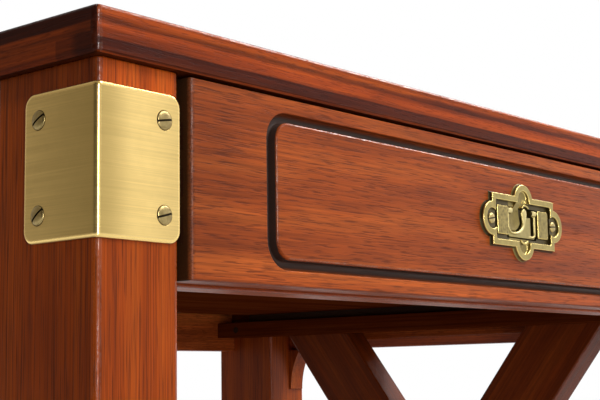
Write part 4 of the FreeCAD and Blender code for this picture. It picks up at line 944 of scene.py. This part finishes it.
def lobed_outline(grow=0.0):
    """Rectangle with a round lobe on each side, as (x, z) points."""
    points = []
    far_x, far_z = PLATE_X + grow, PLATE_Z + grow
    for first, (x, z), radius, corner in (
            (0, (SIDE_AT, 0), SIDE_LOBE + grow, (far_x, far_z)),
            (90, (0, UPPER_AT), UPPER_LOBE + grow, (-far_x, far_z)),
            (180, (-SIDE_AT, 0), SIDE_LOBE + grow, (-far_x, -far_z)),
            (270, (0, -UPPER_AT), UPPER_LOBE + grow, (far_x, -far_z))):
        flat = far_x - SIDE_AT if first % 180 == 0 else far_z - UPPER_AT
        reach = degrees(acos(max(-1.0, min(1.0, flat / radius))))
        for step in range(25):
            turn = radians(first - reach + 2 * reach * step / 24)
            points.append((x + radius * cos(turn), PULL_Z + z + radius * sin(turn)))
        points.append((corner[0], PULL_Z + corner[1]))
    return points


def scoop(*sizes):
    """A shallow bowl-shaped cutter for the floor of a lobe: its place, radius and depth."""
    x, z, radius, deep = mm(*sizes)
    levels = []
    for step in range(1, 8):
        turn = radians(90 * step / 7.5)
        levels.append((circle(x, PULL_Z + z, radius * sin(turn), 36),
                       RIM_FACE + LOBE_DEEP + deep * cos(turn)))
    return skin(levels + [(levels[-1][0], RIM_FACE - OVERCUT)])


def arc(first, last, *sizes):
    """Part of a ring with a rounded front: its turns, then its middle, radii and depths."""
    x, z, inner, outer, front, back = mm(*sizes)
    middle, half = (inner + outer) / 2, (outer - inner) / 2
    profile = [(-half, back), (-half, front + half * 0.6), (-half * 0.6, front + half * 0.1),
               (0, front), (half * 0.6, front + half * 0.1), (half, front + half * 0.6),
               (half, back)]
    return lofted([[(x + (middle + side) * cos(turn), depth,
                     PULL_Z + z + (middle + side) * sin(turn)) for side, depth in profile]
                   for turn in (radians(first + (last - first) * step / 16)
                                for step in range(17))])


def lug(sign):
    """A block with rounded corners and a rounded front edge, cast on the floor of the pan."""
    near, far = sorted((sign * LUG_NEAR, sign * LUG_FAR))
    half, middle = (far - near) / 2, (near + far) / 2

    def ring(inset):
        return [(middle + x, z) for x, z in rounded_loop(
            half - inset, PULL_Z - LUG_Z + inset, PULL_Z + LUG_Z - inset, 1.2 * MM, 4)]

    return skin([(ring(inset), LUG_FACE + deep) for inset, deep in eased(1.0 * MM, 3)]
                + [(ring(0), PAN_FLOOR + 0.3 * MM)])


def softened(shape, width):
    """Rounds every edge of a casting a little."""
    bevelled(shape, [edge for edge in shape.edges if len(edge.link_faces) == 2
                     and edge.calc_face_angle() > radians(38)], width)


def sunk(outline, floor):
    """A cutter for a recess whose upper edge is rounded by wear; outline(grow) gives its rings.
    """
    return skin([(outline(ROUNDED), RIM_FACE - OVERCUT)]
                + [(outline(inset), RIM_FACE + deep) for inset, deep in eased(ROUNDED, 3)]
                + [(outline(0.0), floor)])


def patina(place, colour):
    """Dark patina that grows with the depth below the rim; it is thinned as painted light in
    the bowl and in the upper and lower hollows."""
    x, y, _ = split(place)
    uneven = spread(noise(vectors("MULTIPLY", place, (420, 420, 420)), 3, 0.6), 0.3, 0.7,
                    *mm(-0.35, 0.35))
    deep = spread(y + uneven, *mm(-307.6, -306.4), 0, 0.95, True)
    painted_light_bowl = (spread(abs(x + 4.5 * MM), *mm(11.5, 12.5), 0.62, 0)
               * spread(y, *mm(-302.6, -301.4), 1, 0))
    return mixed(deep * (1.0 - painted_light_bowl), colour, PATINA)


pan = sunk(lambda grow: rounded_loop(PAN_X + grow, PULL_Z - PAN_Z - grow,
                                     PULL_Z + PAN_Z + grow, 1.6 * MM + grow, 5), SHELF_FACE)
hollows = [sunk(lambda grow: circle(x, PULL_Z + z, radius - RIM_WIDE + grow, 48),
                RIM_FACE + LOBE_DEEP)
           for x, z, radius in ((0, UPPER_AT, UPPER_LOBE), (0, -UPPER_AT, UPPER_LOBE),
                                (SIDE_AT, 0, SIDE_LOBE), (-SIDE_AT, 0, SIDE_LOBE))]
wells = [pull_block(*well, RIM_FACE - OVERCUT, PAN_FLOOR) for well in (BAIL_WELL, PRONG_WELL)]
bowl = skin([(on_pull(BOWL), PAN_FLOOR + 0.5 * MM)]
            + [(on_pull([(BOWL_MIDDLE[0] + (x - BOWL_MIDDLE[0]) * near,
                          BOWL_MIDDLE[1] + (z - BOWL_MIDDLE[1]) * near) for x, z in BOWL]),
                depth * MM) for near, depth in BOWL_LEVELS])
web = lofted([[(x * MM, y * MM, PULL_Z + z * MM) for x, y, z in end] for end in WEB])
plate_steps = [("UNION", pull_block(*BACK_BLOCK, BLOCK_FACE, PAN_BACK))]
plate_steps += [("DIFFERENCE", tool) for tool in (pan, *hollows, *wells)]
plate_steps += [("UNION", bowl), ("UNION", web)]
plate_steps += [("DIFFERENCE", scoop(*sizes)) for sizes in SCOOPS]
plate_steps += [("UNION", arc(*sizes)) for sizes in ARCS]
plate_steps += [("UNION", lug(sign)) for sign in (-1, 1)]
plate_shape = worked(skin([(lobed_outline(-inset), RIM_FACE + deep)
                           for inset, deep in eased(ROUNDED, 3)]
                          + [(lobed_outline(), FOOT_FACE),
                             (lobed_outline(0.9 * MM), FIELD_FACE)]), plate_steps)
softened(plate_shape, CAST_ROUND)
mark_rub_and_highlight(plate_shape, CAST_RUB_HIGHLIGHT)
dirt_and_shade_layer = plate_shape.verts.layers.float.new("dirt_and_shade")
rub_and_highlight_layer = plate_shape.verts.layers.float["rub_and_highlight"]
for point in plate_shape.verts:
    x, y, z = abs(point.co.x), point.co.y, abs(point.co.z - PULL_Z)
    on_lug = LUG_NEAR - 0.2 * MM < x < LUG_FAR + 0.2 * MM and z < LUG_Z + 0.2 * MM
    crest = LUG_FACE if on_lug else RIM_FACE
    # the crests of the rim and the lugs marked bright: wear and painted highlight
    if crest + CREST_LOW < y < crest + CREST_HIGH:
        point[rub_and_highlight_layer] = 1.0
    # the flared sides of the plate marked dark: grime and painted shade
    if min(abs(y - FOOT_FACE), abs(y - FIELD_FACE)) < 1e-6:
        point[dirt_and_shade_layer] = 0.62
antique = metal("antique_cast_brass", (0.43, 0.33, 0.115), (0.27, 0.205, 0.07), 0.36,
                (500, 500, 500), 0.6, 150, patina, 1.85)
into_piece("cast_pull_plate", plate_shape, antique, "drawer", ["pull_plate"], 50)


# ---- Pull screws and hinge pins --------------------------------------------------------
# Two small round-headed brass screws in the side lobes hold the plate to the front; two
# turned brass pins through the lugs carry the bail.
PULL_HEAD = mm(3.7, 1.5, 0.9, 0.9)
pull_places = [((x, RIM_FACE + LOBE_DEEP, PULL_Z), (0, -1, 0), (cos(turn), 0, sin(turn)))
               for x, turn in ((-SIDE_AT, radians(10)), (SIDE_AT, radians(4)))]
pull_screw_brass = metal("pull_screw_brass", (0.60, 0.46, 0.19), (0.30, 0.22, 0.09), 0.30,
                         (300, 300, 300), 0.6, 240)
made_by(slotted_heads, "pull_screw_heads", pull_places, dict(zip(SCREW_SIZES, PULL_HEAD)),
        pull_screw_brass, "drawer", ["pull_screws"])
give("bail_pins", screw_brass)


# ---- Bail ------------------------------------------------------------------------------
# The cast handle that swings out of the pan on two pins: two arms and a lower bar, and a
# prong with a round head that a finger hooks, its edge carried on as a bead round the bowl.
BAIL_BACK, BAIL_FRONT, BAIL_ROUND = mm(-302.7, -305.4, 0.4)
PIVOT_Z, PIVOT_Y, ROD_RADIUS = mm(691, -304.3, 2.3)
BEAD_BACK, CREST_FROM = -303.4, -301.0          # millimetres, as the beads below
# dull patina between the beads; polish and a painted highlight on their crests
DULL_BRASS, POLISH_AND_HIGHLIGHT_BRASS = (0.085, 0.062, 0.026, 1), (0.74, 0.61, 0.28, 1)
bail_outline = [(-18.5, -8.3), (-16.1, -10.7), (16.1, -10.7), (18.5, -8.3), (18.5, 7.5),
                (16.2, 7.5), (16.2, -8.4), (11.9, -8.4), (11.9, 4.2), (5.0, 4.2), (3.4, 6.0),
                (1.6, 4.0), (1.3, -1.6), (-1.4, -4.6), (-6.0, -7.0), (-13.7, -7.0),
                (-16.2, -4.5), (-16.2, 7.5), (-18.5, 7.5)]
# the beads: x, z, half width and height of their crest before the pan
prong_bead = [(3.3, 9.95, 0.3, 5.0), (3.3, 9.5, 1.7, 5.4), (3.3, 8.3, 3.2, 5.65),
              (3.3, 6.5, 3.8, 5.7), (3.3, 4.6, 3.3, 5.65), (3.1, 2.7, 2.4, 5.55),
              (2.9, 0.6, 1.9, 5.45), (2.4, -1.6, 1.7, 5.4), (1.2, -3.7, 1.6, 5.4),
              (-0.9, -5.6, 1.4, 5.35), (-3.7, -7.0, 1.2, 5.3), (-7.2, -7.8, 1.1, 5.25),
              (-11.0, -8.0, 1.0, 5.2), (-14.2, -7.6, 1.0, 5.2), (-16.3, -5.9, 0.95, 5.15),
              (-17.2, -3.2, 0.9, 5.1), (-17.3, 0.5, 0.9, 5.1), (-17.3, 4.5, 0.9, 5.1),
              (-17.3, 6.6, 0.5, 4.8)]
arm_bead = [(17.3, 6.6, 0.5, 4.8), (17.3, 4.5, 0.9, 5.1), (17.3, -5.5, 0.9, 5.1),
            (16.7, -8.0, 0.95, 5.15), (14.9, -9.4, 0.95, 5.0), (11.5, -9.6, 0.9, 4.8),
            (7.5, -9.5, 0.8, 4.6), (4.0, -9.2, 0.5, 4.4)]


def rod_across(*ends):
    """A round bar along X, between two places in millimetres."""
    return lofted([[(end, *point) for point in circle(PIVOT_Y, PIVOT_Z, ROD_RADIUS, 32)]
                   for end in mm(*ends)])


def bead(path):
    """A rounded ridge that follows a path."""
    rings = []
    for place, (x, z, half, crest) in enumerate(path):
        before, after = path[max(place - 1, 0)], path[min(place + 1, len(path) - 1)]
        way = Vector((after[0] - before[0], after[1] - before[1])).normalized()
        front = CREST_FROM - crest
        middle, thick = (front + BEAD_BACK) / 2, (BEAD_BACK - front) / 2
        turns = [tau * step / 16 for step in range(16)]
        rings.append([((x - way.y * half * cos(turn)) * MM,
                       (middle - thick * sin(turn)) * MM,
                       PULL_Z + (z + way.x * half * cos(turn)) * MM) for turn in turns])
    return lofted(rings)


def crests_polished_and_highlit(place, colour):
    """Polished where fingers touch, with a painted highlight on the crests; dull between the
    beads.
    """
    _, depth, _ = split(place)
    colour = mixed(spread(depth, *mm(-305.5, -304.6), 0, 0.7), colour, DULL_BRASS)
    return mixed(spread(depth, *mm(-306.25, -305.75), 0.8, 0, True), colour, POLISH_AND_HIGHLIGHT_BRASS)


bail_base = skin([(on_pull(bail_outline), BAIL_FRONT), (on_pull(bail_outline), BAIL_BACK)])
softened(bail_base, BAIL_ROUND)
bail_shape = worked(bail_base, [("UNION", part) for part in
                                (bead(prong_bead), bead(arm_bead), rod_across(-18.5, -13.0),
                                 rod_across(13.0, 18.5))])
bail_brass = metal("antique_bail_brass", (0.45, 0.365, 0.145), (0.32, 0.255, 0.10), 0.36,
                   (500, 500, 500), 0.5, 150, crests_polished_and_highlit)
into_piece("cast_bail", bail_shape, bail_brass, "bail", ["pull_bail"], 50)


# ---- Studio ----------------------------------------------------------------------------
# A pale floor that turns into a white background, soft light from the front, high lamps
# before the desk and on its right, and narrow upright ones on its left for the edges.
WHITE, WARM_WHITE = (1, 1, 1, 1), (1.0, 0.88, 0.70, 1)
FLOOR_GREY, SEEN_GREY = (0.34, 0.33, 0.32, 1), (0.78, 0.78, 0.78, 1)
FLOOR_RADIUS, FADE_FROM, FADE_TO = 7.0, 0.9, 2.6    # metres from the middle of the floor
# name, place, point it is turned to, width and height, power
LAMPS = (("high_lamp", (0.95, -2.35, 3.3), (0, -0.2, 0.6), (1.5, 1.5), 70),
         ("strip_lamp", (-1.344, -2.28, 0.74), (-0.38, -0.30, 0.74), (0.15, 1.42), 9),
         ("glint_lamp", (-1.344, -2.30, 0.74), (-0.38, -0.30, 0.74), (0.24, 1.42), 22),
         ("side_lamp", (1.55, -0.62, 2.3), (0, -0.3, 0.72), (0.9, 0.9), 30))
CAMERA_PLACE = (-0.793579, -0.780630, 0.577238)
YAW, PITCH, ROLL = radians(49.531), radians(7.776), radians(-0.837)
SENSOR_WIDTH, LENS, CLIP = 36, 79.34, (0.02, 60)


def rays(tree, kind, *more):
    """1 for rays of these kinds, 0 for all others."""
    found = node("ShaderNodeLightPath", {}, "Is %s Ray" % kind, tree)
    return larger(found, rays(tree, *more)) if more else found


floor_shape = bmesh.new()
bmesh.ops.create_circle(floor_shape, cap_ends=True, segments=96, radius=FLOOR_RADIUS)
floor = placed("studio_floor", as_mesh(floor_shape, "studio_floor"))
floor_finish, tree = empty_finish("pale_floor")
seen = rays(tree, "Camera", "Glossy", "Transmission")
away = vectors("LENGTH", node("ShaderNodeTexCoord", {}, "Object", tree), out=1)
far_off = spread(away, FADE_FROM, FADE_TO, 0, 1, True) * seen
grey = mixed(seen, FLOOR_GREY, SEEN_GREY)
paper = node("ShaderNodeBsdfDiffuse", {"Color": grey})
white = node("ShaderNodeEmission", {"Color": WHITE, "Strength": 1.0}, 0, tree)
node("ShaderNodeOutputMaterial",
     {0: node("ShaderNodeMixShader", {0: far_off, 1: paper, 2: white})})
floor.data.materials.append(floor_finish)

world = bpy.data.worlds.new("studio")
world.use_nodes = True
world.node_tree.nodes.clear()
bpy.context.scene.world = world
clear_view = rays(world.node_tree, "Camera", "Transmission")
glossy = rays(world.node_tree, "Glossy")
direction = node("ShaderNodeTexCoord", {}, "Generated", world.node_tree)
to_right, _, _ = split(direction)


def toward(x, y, z):
    """How nearly a ray runs along this direction, 1 at most."""
    return vectors("DOT_PRODUCT", direction, (x, y, z), 1)


mirrored = (spread(to_right, -0.9, 0.8, 0.29, 0.93, True)
            + spread(to_right, 0.78, 0.97, 0, 0.5, True)
            + spread(toward(-0.89, 0.46, 0), 0.980, 0.998, 0, 0.25, True))
dim_side = spread(toward(-0.97, -0.24, 0), 0.70, 0.96, 1.0, 0.10, True)
even = (spread(to_right, -0.9, 0.6, 0.17, 0.38)
        + spread(toward(0.10, -0.99, 0.05), 0.5, 0.98, 0, 1.06))
level = larger(mirrored * dim_side * glossy + (1.0 - glossy) * even, clear_view)
warmth = spread(to_right, -0.7, 0.2, 1, 0) * (1.0 - clear_view)
sky = node("ShaderNodeBackground",
           {"Color": mixed(warmth, WHITE, WARM_WHITE), "Strength": level})
node("ShaderNodeOutputWorld", {0: sky})

for name, place, aim, size, power in LAMPS:
    lamp = bpy.data.lights.new(name, "AREA")
    lamp.shape, lamp.energy = "RECTANGLE", power
    lamp.size, lamp.size_y = size
    thing = placed(name, lamp)
    look = (Vector(aim) - Vector(place)).to_track_quat("-Z", "Y")
    thing.matrix_world = Matrix.Translation(place) @ look.to_matrix().to_4x4()
    # the glint lamp only draws the bright lines along rounded edges
    thing.visible_diffuse = name != "glint_lamp"

forward = Vector((sin(YAW) * cos(PITCH), cos(YAW) * cos(PITCH), sin(PITCH)))
level_right = Vector((cos(YAW), -sin(YAW), 0))
level_up = level_right.cross(forward)
right = level_right * cos(ROLL) + level_up * sin(ROLL)
up = level_up * cos(ROLL) - level_right * sin(ROLL)
camera = placed("camera", bpy.data.cameras.new("camera"))
camera.data.sensor_width, camera.data.lens = SENSOR_WIDTH, LENS
camera.data.clip_start, camera.data.clip_end = CLIP
turned = Matrix((right, up, -forward)).transposed()
camera.matrix_world = Matrix.Translation(CAMERA_PLACE) @ turned.to_4x4()
bpy.context.scene.camera = camera
bpy.context.scene.view_settings.view_transform = "Standard"
